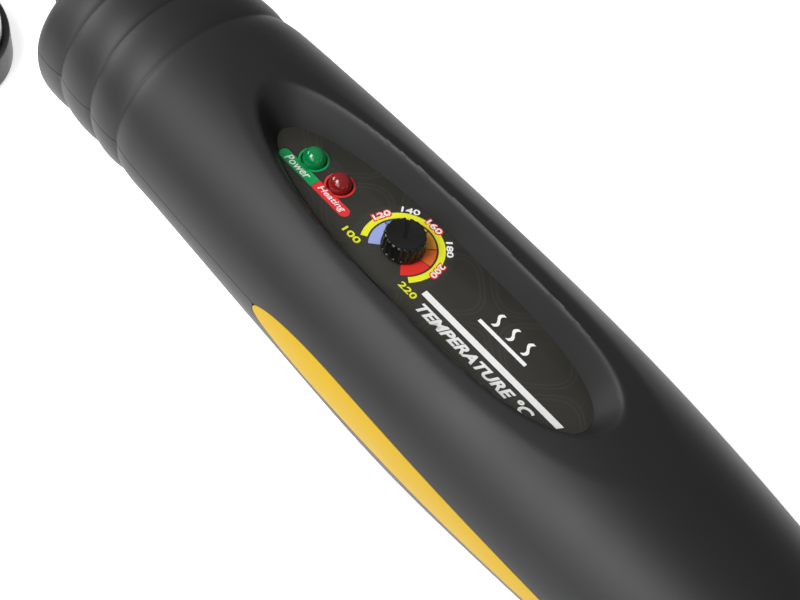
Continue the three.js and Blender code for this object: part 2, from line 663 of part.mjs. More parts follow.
// A pan-head screw: its head's underside is at seat and its shank runs to tip, up or down.
function screw(spot, seat, tip, shank, head) {
  const way = Math.sign(seat - tip);
  const rim = seat + way * SCREW_HEAD.rim;
  const crown = seat + way * SCREW_HEAD.crown;
  const profile = [
    [0, tip],
    [shank, tip],
    [shank, seat],
    [head, seat],
    [head, rim],
    [head - SCREW_HEAD.round, crown],
    [0, crown],
  ];
  const { slot } = SCREW_HEAD;
  const depth = [rim, crown + way].sort((low, high) => low - high);
  return turned(profile, { at: [spot.x, spot.y, 0], sides: 10 }).subtract(
    box([spot.x - slot, spot.x + slot], [spot.y - head, spot.y + head], depth),
  );
}

const thermistor = () =>
  turned([[0, -1.8], [1.2, -1.2], [1.2, 1.2], [0, 1.8]], {
    axis: "x",
    at: [-4, POCKET.half - 1.6, POCKET.floor + 1.6],
    sides: 10,
  });

function addShoe(group) {
  addPiece(group, "shoe", shoe(), "non_stick");
  addPiece(
    group,
    "heating_element",
    box(
      [POCKET.from + ELEMENT.inset, POCKET.to - ELEMENT.inset],
      [-ELEMENT.half, ELEMENT.half],
      [POCKET.floor + GAP, POCKET.floor + GAP + ELEMENT.thickness],
    ),
    "ceramic",
  );
  addPiece(
    group,
    "pressure_plate",
    box(
      [POCKET.from + PLATE.inset, POCKET.to - PLATE.inset],
      [-PLATE.half, PLATE.half],
      [POCKET.floor + PLATE.low, POCKET.floor + PLATE.high],
    ),
    "zinc",
  );
  addPiece(group, "temperature_sensor", thermistor(), "ceramic");
  addPiece(group, "shoe_cover", shoeCover(), "steel");
  addPiece(group, "neck_socket", neckSocket(), "zinc");
  SHOE_SCREWS.forEach((x, i) => {
    const { shank, head } = SHOE_SCREW;
    const made = screw({ x, y: 0 }, COVER.top + GAP, POCKET.floor, shank, head);
    addPiece(group, "shoe_screw_" + (i + 1), made, "steel");
  });
  socketScrewSpots.forEach((spot, i) => {
    const made = screw(spot, FLANGE_TOP + GAP, COVER.top - 3, SHOE_SCREW.shank, SHOE_SCREW.head);
    addPiece(group, "socket_screw_" + (i + 1), made, "steel");
  });
}

// ---- Assembly ------------------------------------------------------------------------------------

function addHandle(group) {
  addPiece(group, "upper_shell", upperShell(), "soft_black");
  addPiece(group, "lower_shell", lowerShell(), "soft_black");
  const insert = outerForm
    .subtract(innerForm(INSERT_LIE.thickness, NOSE + 5, TAIL - 5))
    .intersect(insertPrism(0));
  addPiece(group, "side_insert_right", insert.intersect(box([-80, 95], [1, 40], [-40, 20])), "yellow");
  addPiece(group, "side_insert_left", insert.intersect(box([-80, 95], [-40, -1], [-40, 20])), "yellow");
  addPiece(group, "panel_label", labelPlate(), "label");
  addPiece(group, "power_led", led(LED_PLACES.power_led), "green_lens");
  addPiece(group, "heating_led", led(LED_PLACES.heating_led), "red_lens");
  addPiece(group, "temperature_knob", knob(), "gloss_black");
  addPiece(group, "potentiometer_shaft", rod(SHAFT.radius, SHAFT.from, SHAFT.to, { sides: 16 }), "steel");
  addBoardParts(group);
  caseScrewSpots.forEach((spot, i) => {
    const made = screw(spot, CASE_SCREW.seat, CASE_SCREW.tip, CASE_SCREW.shank, CASE_SCREW.head);
    addPiece(group, "case_screw_" + (i + 1), made, "steel");
  });
  boardScrewSpots.forEach((spot, i) => {
    const made = screw(spot, boardOver, BOARD_SCREW.tip, BOARD_SCREW.shank, BOARD_SCREW.head);
    addPiece(group, "board_screw_" + (i + 1), made, "steel");
  });
  addPiece(group, "cord_gland", cordGland(), "rubber");
  addPiece(group, "cord_clamp", cordClamp(), "component");
  clampSpots.forEach((spot, i) => {
    const made = screw(spot, CLAMP.top + GAP, CLAMP.screw, BOARD_SCREW.shank, BOARD_SCREW.head);
    addPiece(group, "clamp_screw_" + (i + 1), made, "steel");
  });
  addPiece(group, "nose_collar", noseCollar(), "resin");
  addPiece(group, "neck_flange", neckFlange(), "zinc");
}

function addNeck(group) {
  addPiece(group, "neck_tube", swept(neckLine(0), NECK.radius, NECK.bore, 24, 12), "steel");
  for (const [name, side] of Object.entries(LEADS))
    addPiece(group, name, swept(neckLine(side, LEAD.early, LEAD.late), LEAD.radius, 0, 26, 6), "sleeve");
}

const iron = new THREE.Group();
addShoe(iron);
addNeck(iron);
const incline = new THREE.Group();
incline.position.set(-DIAL_BEHIND, 0, DIAL_HEIGHT);
incline.rotation.y = -TILT;
const handle = new THREE.Group();
handle.rotation.z = Math.PI;
addHandle(handle);
incline.add(handle);
iron.add(incline);

export default iron;
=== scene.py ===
"""An electric sealing iron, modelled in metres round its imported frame."""

import json
import math

import bmesh
import bpy
from mathutils import Matrix, Vector


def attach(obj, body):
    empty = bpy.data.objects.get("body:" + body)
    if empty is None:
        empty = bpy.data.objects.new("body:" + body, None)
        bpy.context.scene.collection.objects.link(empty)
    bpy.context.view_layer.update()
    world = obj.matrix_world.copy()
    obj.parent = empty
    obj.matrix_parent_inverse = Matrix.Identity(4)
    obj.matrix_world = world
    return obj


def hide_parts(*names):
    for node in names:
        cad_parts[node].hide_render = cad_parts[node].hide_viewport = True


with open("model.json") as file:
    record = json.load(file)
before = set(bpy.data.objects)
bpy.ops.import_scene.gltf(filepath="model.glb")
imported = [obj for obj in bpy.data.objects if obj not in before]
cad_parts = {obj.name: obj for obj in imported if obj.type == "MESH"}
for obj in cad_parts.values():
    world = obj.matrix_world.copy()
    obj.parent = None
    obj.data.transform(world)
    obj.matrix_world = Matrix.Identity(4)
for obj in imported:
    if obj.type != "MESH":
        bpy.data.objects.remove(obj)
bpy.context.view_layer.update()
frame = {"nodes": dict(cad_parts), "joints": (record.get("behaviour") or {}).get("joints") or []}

bl_info = {
    "name": "Sealing Iron",
    "version": (1, 0, 0),
    "blender": (4, 5, 0),
    "location": "3D View > Sidebar > Sealing Iron",
    "description": "Builds an electric sealing iron piece by piece round its frame",
    "category": "Add Mesh",
}

# ---- Frames and driving sizes --------------------------------------------------------------------

# The handle is modelled in millimetres in its own frame: the origin is the dial's centre on the
# panel, x runs to the tail, y to the right and z out of the panel.
MM = 0.001
DIAL = Vector(frame["joints"][0]["pos_m"])
PANEL_NORMAL = -Vector(frame["joints"][0]["axis"]).normalized()
TILT = math.atan2(-PANEL_NORMAL.x, PANEL_NORMAL.z)
HANDLE = (
    Matrix.Translation(DIAL)
    @ Matrix.Rotation(-TILT, 4, "Y")
    @ Matrix.Rotation(math.pi, 4, "Z")
    @ Matrix.Scale(MM, 4)
)
ROW = Matrix.Scale(MM, 4)  # for pieces modelled in millimetres in the frame's own directions
MERGE = 1e-4

NOSE, TAIL, WIDEST = -78.5, 100.0, 21.6
BODY_HALF, BODY_HEIGHT, BODY_CENTRE = 23.4, 17.3, -10.0
TO_NOSE = (75.0, 2.4, 0.3, -0.2)  # reach, and what half, height and centre change over it
TO_TAIL = (51.0, 2.55, 1.6, -0.3)
# Depth of the underside below the middle line, by station: a waist behind the ribs and a belly.
UNDERSIDE = ((-78.5, 21), (-60, 19.2), (-40, 16), (-10, 19.2), (20, 23.5), (50, 21.5),
             (76, 19.4), (100, 18.4))
TAIL_ROUND, TAIL_SHARE = 14.0, 0.82
GROOVES = (-70.4, -61.5, -52.7)
RIB_LEAN = -0.12
RIB_FADE = 26.0
SEAM = -9.8
SEAM_FALL = (25.0, 72.0, 4.3)  # where it starts and ends to fall, and how far
NOSE_HOLE, NOSE_HOLE_Z = 10.4, -11.0
TAIL_HOLE, TAIL_HOLE_Z = 5.1, -11.2
DISH_MIDDLE, DISH_LENGTH, DISH_HALF, DISH_HEIGHT, DISH_FALL = 7.75, 54.45, 13.65, 5.97, 2.07
DISH_RISE = (0.95, 0.12)
DISH_BLEND = 0.12
LABEL_EGG = (-31.8, 2.0, 45.4, 8.75)  # nose end, widest point, tail end, half-width
RIM_EGG = (-35.5, 2.0, 48.5, 11.5)
RIM_HEIGHT = 4.5
FLOOR = -0.9
INSERT_EGG = (-10.6, 12.0, 72.0, 4.3)  # the side inserts' outline
INSERT_POWERS = (2.5, 2.0)
INSERT_CENTRE, INSERT_FALL = -11.7, 0.04
TOP_HALF = 12.6  # the finely divided band along the top of the handle
INSERT_GAP = 0.14
SCREWS_FRONT, SCREWS_REAR, SCREW_SEAT = (-43.0, 9.5), (73.0, 8.0), -19.3
CASE_SCREW_SPOTS = [(x, side * y) for x, y in (SCREWS_FRONT, SCREWS_REAR) for side in (1, -1)]
COLLAR_INNER = -71.2  # the collar's end inside the handle

# The panel's print and lamps.
PRINT_FOOT = -0.05  # the ink's underside, sunk in the label
LAMPS = {"power": -23.3, "heating": -16.4}
LENS_RADIUS, LENS_HOLE, SHAFT_HOLE = 2.1, 2.4, 2.2
WHITE_INK = (0.86, 0.86, 0.84)
TILES, TILE_TURN, TILE_POWER = 72, math.radians(38), 3.2  # tiles a metre, and how square they are
DISC_RADIUS = 9.1

# The neck and the shoe, in the frame's own directions.
NECK_RADIUS, NECK_BORE, NECK_STRAIGHT, NECK_BEND = 4.5, 3.6, 50.0, 26.0
NECK_INNER, NECK_DROP = -58, math.radians(65)
COVER_FOOT, COVER_TOP, FLANGE_THICK = 7.3, 16.0, 2.4
FLANGE_FOOT = COVER_TOP + 0.3
FLANGE_TOP = FLANGE_FOOT + FLANGE_THICK
FLANGE_REACH, FLANGE_HALF = 17, 8.5
SOLE_EGG = (-48.0, -4.0, 48.0, 21.0)
SOLE_POWERS = (3.2, 1.8, 1.8)
SHOE_SCREWS = (-33.5, 29.5)
SOCKET_SCREW_REACH = 12.6

AIM = (-0.0042, 0.0044, -0.0065)  # from the dial to the middle of the view, in metres


class HandleSettings(bpy.types.PropertyGroup):
    shell_colour: bpy.props.FloatVectorProperty(
        name="Shell colour", description="Soft-touch plastic of the handle",
        subtype="COLOR", size=3, default=(0.013, 0.013, 0.0135), min=0, max=1)
    insert_colour: bpy.props.FloatVectorProperty(
        name="Insert colour", description="Plastic of the two side inserts",
        subtype="COLOR", size=3, default=(0.425, 0.267, 0.008), min=0, max=1)
    groove_depth: bpy.props.FloatProperty(
        name="Groove depth", description="Depth of the grip grooves, in millimetres",
        default=0.85, min=0, max=2)
    seam_gap: bpy.props.FloatProperty(
        name="Seam gap", description="Gap between the two shells, in millimetres",
        default=0.14, min=0.02, max=0.3)
    wall: bpy.props.FloatProperty(
        name="Wall", description="Wall thickness of the shells, in millimetres",
        default=1.5, min=0.8, max=2.8)
    rim_round: bpy.props.FloatProperty(
        name="Rim rounding", description="Rounding of the recess's mouth, in millimetres",
        default=0.8, min=0.2, max=3)


class PanelSettings(bpy.types.PropertyGroup):
    label_colour: bpy.props.FloatVectorProperty(
        name="Label colour", description="Ground of the printed label",
        subtype="COLOR", size=3, default=(0.030, 0.029, 0.023), min=0, max=1)
    power_colour: bpy.props.FloatVectorProperty(
        name="Power colour", description="Print and lens of the power lamp",
        subtype="COLOR", size=3, default=(0.0, 0.36, 0.10), min=0, max=1)
    heating_colour: bpy.props.FloatVectorProperty(
        name="Heating colour", description="Print and lens of the heating lamp",
        subtype="COLOR", size=3, default=(0.80, 0.03, 0.035), min=0, max=1)
    scale_colour: bpy.props.FloatVectorProperty(
        name="Scale colour", description="Printed arc of the dial",
        subtype="COLOR", size=3, default=(0.83, 0.83, 0.02), min=0, max=1)
    knob_radius: bpy.props.FloatProperty(
        name="Knob radius", description="Radius of the knob's foot, in millimetres",
        default=3.9, min=3, max=4)
    pointer_bearing: bpy.props.FloatProperty(
        name="Pointer bearing", description="Bearing of the knob's pointer from the scale's middle",
        subtype="ANGLE", default=math.radians(-41), min=-math.pi, max=math.pi)


class ShoeSettings(bpy.types.PropertyGroup):
    coat_colour: bpy.props.FloatVectorProperty(
        name="Coat colour", description="Non-stick coat of the shoe",
        subtype="COLOR", size=3, default=(0.050, 0.052, 0.052), min=0, max=1)
    steel_colour: bpy.props.FloatVectorProperty(
        name="Steel colour", description="Neck tube and shoe cover",
        subtype="COLOR", size=3, default=(0.60, 0.60, 0.61), min=0, max=1)
    edge_round: bpy.props.FloatProperty(
        name="Edge rounding", description="Rounding of the shoe's edges",
        subtype="DISTANCE", unit="LENGTH", default=0.0009, min=0.0002, max=0.003)


class StageSettings(bpy.types.PropertyGroup):
    floor_colour: bpy.props.FloatVectorProperty(
        name="Floor colour", description="Plain pale floor",
        subtype="COLOR", size=3, default=(0.90, 0.90, 0.90), min=0, max=1)
    azimuth: bpy.props.FloatProperty(
        name="Camera azimuth", description="Bearing of the camera from the dial, from +X",
        subtype="ANGLE", default=math.radians(137.46))
    elevation: bpy.props.FloatProperty(
        name="Camera elevation", description="Height angle of the camera over the dial",
        subtype="ANGLE", default=math.radians(42.56))
    distance: bpy.props.FloatProperty(
        name="Camera distance", description="Distance from the dial to the camera",
        subtype="DISTANCE", unit="LENGTH", default=0.3729)
    lens: bpy.props.FloatProperty(
        name="Focal length", description="Camera lens, in millimetres", default=99.0)


# ---- Finishes ------------------------------------------------------------------------------------


def feed(links, value, socket):
    """Links a node's output to a socket, or sets the socket's own value."""
    if isinstance(value, bpy.types.NodeSocket):
        links.new(value, socket)
    else:
        socket.default_value = value


def add_node(tree, kind, values=None, **attributes):
    """Adds a shader node, sets its attributes and then feeds its inputs."""
    node = tree.nodes.new("ShaderNode" + kind)
    for key, value in attributes.items():
        setattr(node, key, value)
    for key, value in (values or {}).items():
        feed(tree.links, value, node.inputs[key])
    return node


def math_node(tree, operation, *values):
    return add_node(tree, "Math", dict(enumerate(values)), operation=operation).outputs[0]


def surface_detail_group():
    """Fine moulded grain and broad soft patches, both in millimetres on Object coordinates."""
    group = bpy.data.node_groups.get("surface_detail")
    if group:
        return group
    group = bpy.data.node_groups.new("surface_detail", "ShaderNodeTree")
    for name, size in (("Grain", 0.2), ("Patch", 20)):
        socket = group.interface.new_socket(
            name + " Size", in_out="INPUT", socket_type="NodeSocketFloat")
        socket.default_value = size
        group.interface.new_socket(name, in_out="OUTPUT", socket_type="NodeSocketFloat")
    entry, out = group.nodes.new("NodeGroupInput"), group.nodes.new("NodeGroupOutput")
    coords = add_node(group, "TexCoord").outputs["Object"]
    for name, detail in (("Grain", 2.0), ("Patch", 4.0)):
        scale = math_node(group, "DIVIDE", 1 / MM, entry.outputs[name + " Size"])
        noise = add_node(group, "TexNoise", {"Detail": detail, "Vector": coords, "Scale": scale})
        group.links.new(noise.outputs["Fac"], out.inputs[name])
    return group


def finish(name, colour, roughness, metallic=0.0, grain=0.2, bump=0.05, patch=20.0, shade=0.85,
           spread=0.06, **sockets):
    """A Principled finish with moulded grain, slow changes of colour and of roughness."""
    material = bpy.data.materials.new(name)
    material.use_nodes = True
    tree = material.node_tree
    shader = tree.nodes["Principled BSDF"]
    shader.inputs["Metallic"].default_value = metallic
    for socket, value in sockets.items():
        shader.inputs[socket.replace("_", " ")].default_value = value
    detail = add_node(tree, "Group", {"Grain Size": grain, "Patch Size": patch},
                      node_tree=surface_detail_group())
    tint = add_node(tree, "Mix", {
        "A": (*[shade * c for c in colour], 1),
        "B": (*[min(1, (2 - shade) * c) for c in colour], 1),
        "Factor": detail.outputs["Patch"]}, data_type="RGBA")
    rough = add_node(tree, "MapRange", {
        "From Min": 0.3, "From Max": 0.7, "To Min": roughness - spread, "To Max": roughness + spread,
        "Value": detail.outputs["Patch"]})
    relief = add_node(tree, "Bump", {
        "Strength": bump, "Distance": 0.1 * MM, "Height": detail.outputs["Grain"]})
    tree.links.new(tint.outputs["Result"], shader.inputs["Base Color"])
    tree.links.new(rough.outputs["Result"], shader.inputs["Roughness"])
    tree.links.new(relief.outputs["Normal"], shader.inputs["Normal"])
    return material


def mix_over(material, factor, colour, blend="MIX"):
    """Mixes a colour over a finish's own colour."""
    tree = material.node_tree
    base = tree.nodes["Principled BSDF"].inputs["Base Color"]
    mix = add_node(tree, "Mix", {"A": base.links[0].from_socket, "B": colour, "Factor": factor},
                   data_type="RGBA", blend_type=blend)
    tree.links.new(mix.outputs["Result"], base)


def label_finish(colour):
    """Printed film: a dark ground with faint outlines of tiles and a paler disc."""
    material = finish("printed_label", colour, 0.42, grain=0.5, bump=0.01, patch=12, shade=0.8)
    tree = material.node_tree
    coords = add_node(tree, "TexCoord").outputs["Object"]
    centred = add_node(tree, "Mapping", {"Location": -DIAL, "Vector": coords}).outputs["Vector"]
    tile = add_node(tree, "Mapping", {
        "Rotation": (0, 0, TILE_TURN), "Scale": (TILES, TILES, TILES), "Vector": centred})
    split = add_node(tree, "SeparateXYZ", {"Vector": tile.outputs["Vector"]})
    sides = []
    for side in "XY":
        cell = math_node(tree, "FRACT", split.outputs[side])
        away = math_node(tree, "ABSOLUTE", math_node(tree, "SUBTRACT", cell, 0.5))
        sides.append(math_node(tree, "POWER", away, TILE_POWER))
    reach = math_node(tree, "POWER", math_node(tree, "ADD", *sides), 1 / TILE_POWER)
    lines = []
    for radius in (0.40, 0.455):
        gap = math_node(tree, "ABSOLUTE", math_node(tree, "SUBTRACT", reach, radius))
        lines.append(math_node(tree, "LESS_THAN", gap, 0.012))
    away = add_node(tree, "VectorMath", {0: centred}, operation="LENGTH").outputs["Value"]
    disc = math_node(tree, "LESS_THAN", away, DISC_RADIUS * MM)
    faint = math_node(tree, "MAXIMUM",
                      math_node(tree, "MULTIPLY", math_node(tree, "MAXIMUM", *lines), 0.16),
                      math_node(tree, "MULTIPLY", disc, 0.12))
    mix_over(material, faint, (0.085, 0.082, 0.070, 1))
    return material


def brushed_finish(name, colour, roughness, axis_scale):
    """Bright metal with fine scratches that run along one axis."""
    material = finish(name, colour, roughness, metallic=1.0, grain=1.0, bump=0.12, patch=9,
                      shade=0.93, spread=0.07)
    tree = material.node_tree
    relief = tree.nodes["Principled BSDF"].inputs["Normal"].links[0].from_node
    coords = add_node(tree, "TexCoord").outputs["Object"]
    stretch = add_node(tree, "Mapping", {"Scale": axis_scale, "Vector": coords})
    scratches = add_node(tree, "TexNoise", {
        "Scale": 1.0, "Detail": 6.0, "Vector": stretch.outputs["Vector"]})
    tree.links.new(scratches.outputs["Fac"], relief.inputs["Height"])
    return material


def shell_finish(name, colour):
    """Soft-touch plastic: fine grain and a dull surface."""
    return finish(name, colour, 0.47, grain=0.16, bump=0.10, patch=26, shade=0.93, spread=0.04,
                  Specular_IOR_Level=0.34)


def ink(name, colour):
    return finish(name, colour, 0.42, grain=0.3, bump=0.02, patch=4, shade=0.94)


def lens_finish(name, colour):
    """Clear tinted plastic with a painted glow: an emission that stands in for light seen in the dome,
    brightest where it faces the view and dim at its edge.
    """
    full = [c / max(colour) for c in colour]
    material = finish(name, [0.15 * c for c in full], 0.08, grain=2.0, bump=0.0, patch=3, shade=0.8,
                      spread=0.02, Coat_Weight=0.3, Emission_Strength=0.13)
    tree = material.node_tree
    # Painted glow: the emission colour is bright where the lens faces the view and dim towards its
    # edge.
    facing = add_node(tree, "LayerWeight", {"Blend": 0.35}).outputs["Facing"]
    painted_glow = add_node(tree, "Mix", {
        "A": (*[0.45 * c for c in full], 1), "B": (*[0.05 * c for c in full], 1),
        "Factor": facing}, data_type="RGBA")
    tree.links.new(painted_glow.outputs["Result"], tree.nodes["Principled BSDF"].inputs["Emission Color"])
    return material


def heated_steel(name, colour):
    """Brushed steel tinted straw and blue towards the shoe by its heat."""
    material = brushed_finish(name, colour, 0.28, (2500, 2500, 400))
    tree = material.node_tree
    coords = add_node(tree, "TexCoord").outputs["Object"]
    split = add_node(tree, "SeparateXYZ", {"Vector": coords})
    height = add_node(tree, "MapRange", {
        "From Min": 0.018, "From Max": 0.050, "Value": split.outputs["Z"]})
    tint = add_node(tree, "ValToRGB", {"Fac": height.outputs["Result"]})
    stops = tint.color_ramp.elements
    stops[0].position, stops[0].color = 0.05, (0.62, 0.55, 0.66, 1)
    stops[1].position, stops[1].color = 0.85, (1, 1, 1, 1)
    stops.new(0.4).color = (0.98, 0.84, 0.62, 1)
    mix_over(material, 1.0, tint.outputs["Color"], "MULTIPLY")
    return material


# ---- Modelling helpers ---------------------------------------------------------------------------


def activate(piece):
    bpy.ops.object.select_all(action="DESELECT")
    piece.select_set(True)
    bpy.context.view_layer.objects.active = piece


def new_piece(name, points, edges=(), faces=()):
    mesh = bpy.data.meshes.new(name)
    mesh.from_pydata([tuple(p) for p in points], list(edges), list(faces))
    piece = bpy.data.objects.new(name, mesh)
    bpy.context.scene.collection.objects.link(piece)
    activate(piece)
    return piece


def adopt(name):
    """Names the primitive that was just added and makes it the only selected object."""
    piece = bpy.context.active_object
    piece.name = piece.data.name = name
    activate(piece)
    return piece


def edit(piece, mode="FACE"):
    activate(piece)
    bpy.ops.object.mode_set(mode="EDIT")
    bpy.ops.mesh.select_mode(type=mode)
    bpy.ops.mesh.select_all(action="DESELECT")


def leave():
    bpy.ops.object.mode_set(mode="OBJECT")


def select_faces(piece, wanted):
    """Selects the faces of the mesh in edit mode that a test of centre and normal accepts."""
    shape = bmesh.from_edit_mesh(piece.data)
    for face in shape.faces:
        face.select_set(wanted(face.calc_center_median(), face.normal))
    bmesh.update_edit_mesh(piece.data)


def tidy_normals(piece):
    activate(piece)
    bpy.ops.object.mode_set(mode="EDIT")
    bpy.ops.mesh.select_all(action="SELECT")
    bpy.ops.mesh.remove_doubles(threshold=MERGE)
    bpy.ops.mesh.normals_make_consistent(inside=False)
    bpy.ops.object.mode_set(mode="OBJECT")


def modify(piece, kind, **values):
    activate(piece)
    modifier = piece.modifiers.new(kind.lower(), kind)
    for key, value in values.items():
        setattr(modifier, key, value)
    bpy.ops.object.modifier_apply(modifier=modifier.name)


def carve(piece, tools, operation="DIFFERENCE"):
    for tool in tools:
        modify(piece, "BOOLEAN", operation=operation, object=tool, solver="EXACT")
        bpy.data.objects.remove(tool)


def turned(name, profile, steps=64, axis="Z"):
    """Spins an outline of (radius, height) points round the axis into a closed solid."""
    places = {"Z": lambda r, h: (r, 0, h), "X": lambda r, h: (h, 0, r)}
    points = [places[axis](r, h) for r, h in profile]
    piece = new_piece(name, points, edges=[(i, i + 1) for i in range(len(points) - 1)])
    edit(piece, "VERT")
    bpy.ops.mesh.select_all(action="SELECT")
    turn_axis = (0, 0, 1) if axis == "Z" else (1, 0, 0)
    bpy.ops.mesh.spin(steps=steps, angle=2 * math.pi, center=(0, 0, 0), axis=turn_axis)
    leave()
    tidy_normals(piece)
    return piece


def shift(piece, x=0.0, y=0.0, z=0.0):
    piece.data.transform(Matrix.Translation((x, y, z)))
    return piece


def join(name, pieces):
    bpy.ops.object.select_all(action="DESELECT")
    for piece in pieces:
        piece.select_set(True)
    bpy.context.view_layer.objects.active = pieces[0]
    if len(pieces) > 1:
        bpy.ops.object.join()
    pieces[0].name = pieces[0].data.name = name
    return pieces[0]


def sheet_of(name, rows, closed=False):
    """A surface through rows of points that have equally many points each."""
    width = len(rows[0])
    points = [p for row in rows for p in row]
    faces = []
    for i in range(len(rows) - 1):
        for j in range(width if closed else width - 1):
            k = (j + 1) % width
            faces.append((i * width + j, i * width + k, (i + 1) * width + k, (i + 1) * width + j))
    return new_piece(name, points, faces=faces)


def set_in_place(piece, place, material, nodes=(), body="iron", angle=40):
    """Puts the place into the mesh, gives the piece its finish and body, and hides the CAD nodes that
    it stands in for.
    """
    piece.data.transform(place @ piece.matrix_basis)
    piece.matrix_basis = Matrix.Identity(4)
    activate(piece)
    bpy.ops.object.shade_smooth_by_angle(angle=math.radians(angle))
    piece.data.materials.clear()
    piece.data.materials.append(material)
    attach(piece, body)
    if nodes:
        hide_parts(*nodes)


# ---- The handle's form ---------------------------------------------------------------------------


def rib_offset(x, depth):
    """How far the surface lies under the plain form at the grooves and ribs of the nose."""
    def bulge(share):
        return depth * (max(0.0, math.sin(math.pi * share)) ** 0.5 - 1)

    if x < GROOVES[0]:
        share = (GROOVES[0] - x) / (GROOVES[0] - NOSE)
        return bulge(share) if share < 0.5 else -1.6 * (2 * share - 1) ** 4
    for front, rear in zip(GROOVES, GROOVES[1:]):
        if x < rear:
            return bulge((x - front) / (rear - front))
    share = (x - GROOVES[-1]) / 12
    return bulge(share) if share < 0.5 else 0.0


def underside(x):
    """Depth below the middle line, on a smooth curve through the given stations."""
    last = len(UNDERSIDE) - 1

    def slope(i):
        (x0, depth0), (x1, depth1) = UNDERSIDE[max(i - 1, 0)], UNDERSIDE[min(i + 1, last)]
        return (depth1 - depth0) / (x1 - x0)

    i = max(k for k in range(last) if k == 0 or UNDERSIDE[k][0] <= x)
    (x0, depth0), (x1, depth1) = UNDERSIDE[i], UNDERSIDE[i + 1]
    step = x1 - x0
    t = (x - x0) / step
    return (
        (2 * t ** 3 - 3 * t ** 2 + 1) * depth0 + (3 * t ** 2 - 2 * t ** 3) * depth1
        + (t ** 3 - 2 * t ** 2 + t) * step * slope(i) + (t ** 3 - t ** 2) * step * slope(i + 1)
    )


def section(x):
    """Half-width, height above and depth below the middle line, and the middle line's height."""
    reach, half, height, centre = TO_NOSE if x < WIDEST else TO_TAIL
    loss = ((x - WIDEST) / reach) ** 2
    turn = max(0.0, (x - TAIL) / TAIL_ROUND + 1) * TAIL_SHARE
    share = math.sqrt(1 - turn * turn)
    return (
        (BODY_HALF - half * loss) * share,
        (BODY_HEIGHT - height * loss) * share,
        underside(x) * share,
        BODY_CENTRE + centre * loss,
    )


def dish_height(x, y):
    rise = DISH_RISE[0] if x < DISH_MIDDLE else DISH_RISE[1]
    along = (x - DISH_MIDDLE) / DISH_LENGTH
    return DISH_HEIGHT + rise * along ** 2 - DISH_FALL * (y / DISH_HALF) ** 2


def lower_of(a, b, blend):
    near = max(blend - abs(a - b), 0) / blend
    return min(a, b) - near * near * blend / 4


def body_point(x, turn, depth):
    """A point of the handle's surface at a station and an angle from the right-hand side."""
    half, height, depth_below, centre = section(x)
    under = rib_offset(x, depth)
    fade = GROOVES[1] - NOSE if x < GROOVES[1] else RIB_FADE
    lean = RIB_LEAN * max(0.0, 1 - abs(x - GROOVES[1]) / fade)
    y = (half + under) * math.cos(turn)
    rise = height if math.sin(turn) > 0 else depth_below
    z = centre + (rise + under) * math.sin(turn)
    if z > 0:
        z = lower_of(z, dish_height(x, y), DISH_BLEND)
    return Vector((x + lean * z, y, z))


def edge_turn(x, z, depth):
    """The angle at which the surface crosses the height z on the right-hand side."""
    _, height, depth_below, centre = section(x)
    reach = (height if z > centre else depth_below) + rib_offset(x, depth)
    return math.asin(max(-1.0, min(1.0, (z - centre) / reach)))


def egg(outline, turn, grow=0.0, powers=(2.0, 4.0, 2.0)):
    """A point of an egg-shaped outline at an angle from its tail end."""
    nose, middle, tail, half = outline
    along, across = math.cos(turn), math.sin(turn)
    reach, power = (tail - middle, powers[1]) if along > 0 else (middle - nose, powers[0])
    far = (reach + grow) * abs(along) ** (2 / power)
    side = (half + grow) * abs(across) ** (2 / powers[2])
    return Vector((middle + math.copysign(far, along), math.copysign(side, across)))


def egg_ring(outline, z, grow=0.0, powers=(2.0, 4.0, 2.0), count=96):
    turns = [2 * math.pi * i / count for i in range(count)]
    return [(*egg(outline, turn, grow, powers), z) for turn in turns]


def recess_height(x, y):
    """Height of the recess's sloping wall over a point of the panel."""
    if abs(y) > TOP_HALF + 3 or not RIM_EGG[0] - 4 < x < RIM_EGG[2] + 4:
        return 3 * RIM_HEIGHT
    low, high = -0.4, 2.2
    while high - low > 0.002:
        share = (low + high) / 2
        nose, middle, tail, half = (a + share * (b - a) for a, b in zip(LABEL_EGG, RIM_EGG))
        along = (x - middle) / (tail - middle) if x > middle else (middle - x) / (middle - nose)
        inside = along ** (4 if x > middle else 2) + (y / half) ** 2 < 1
        low, high = (low, share) if inside else (share, high)
    return max(FLOOR, low * RIM_HEIGHT)


def insert_edges(x, gap=0.0):
    """Heights of the side insert's lower and upper edges at a station, or of the slot round it."""
    nose, middle, tail, half = INSERT_EGG
    front, rear = (middle - nose, INSERT_POWERS[0]), (tail - middle, INSERT_POWERS[1])
    reach, power = rear if x > middle else front
    share = min(1.0, abs(x - middle) / (reach + gap))
    spread = (half + gap) * math.sqrt(1 - share ** power)
    centre = INSERT_CENTRE - INSERT_FALL * (x - middle)
    return centre - spread, centre + spread


def seam_height(x):
    """Height of the seam, which falls behind the handle's middle to meet the inserts' tips."""
    share = max(0.0, min(1.0, (x - SEAM_FALL[0]) / (SEAM_FALL[1] - SEAM_FALL[0])))
    return SEAM - SEAM_FALL[2] * share * share * (3 - 2 * share)


def slot_edges(x, half_gap):
    """Heights of the lower shell's and the upper shell's edges, along the seam and the slot."""
    nose, _, tail, _ = INSERT_EGG
    low, high = seam_height(x) - half_gap, seam_height(x) + half_gap
    if nose - INSERT_GAP < x < tail + INSERT_GAP:
        under, over = insert_edges(x, INSERT_GAP)
        return min(low, under), max(high, over)
    return low, high


def spaced(start, end, count):
    return [start + (end - start) * i / (count - 1) for i in range(count)]


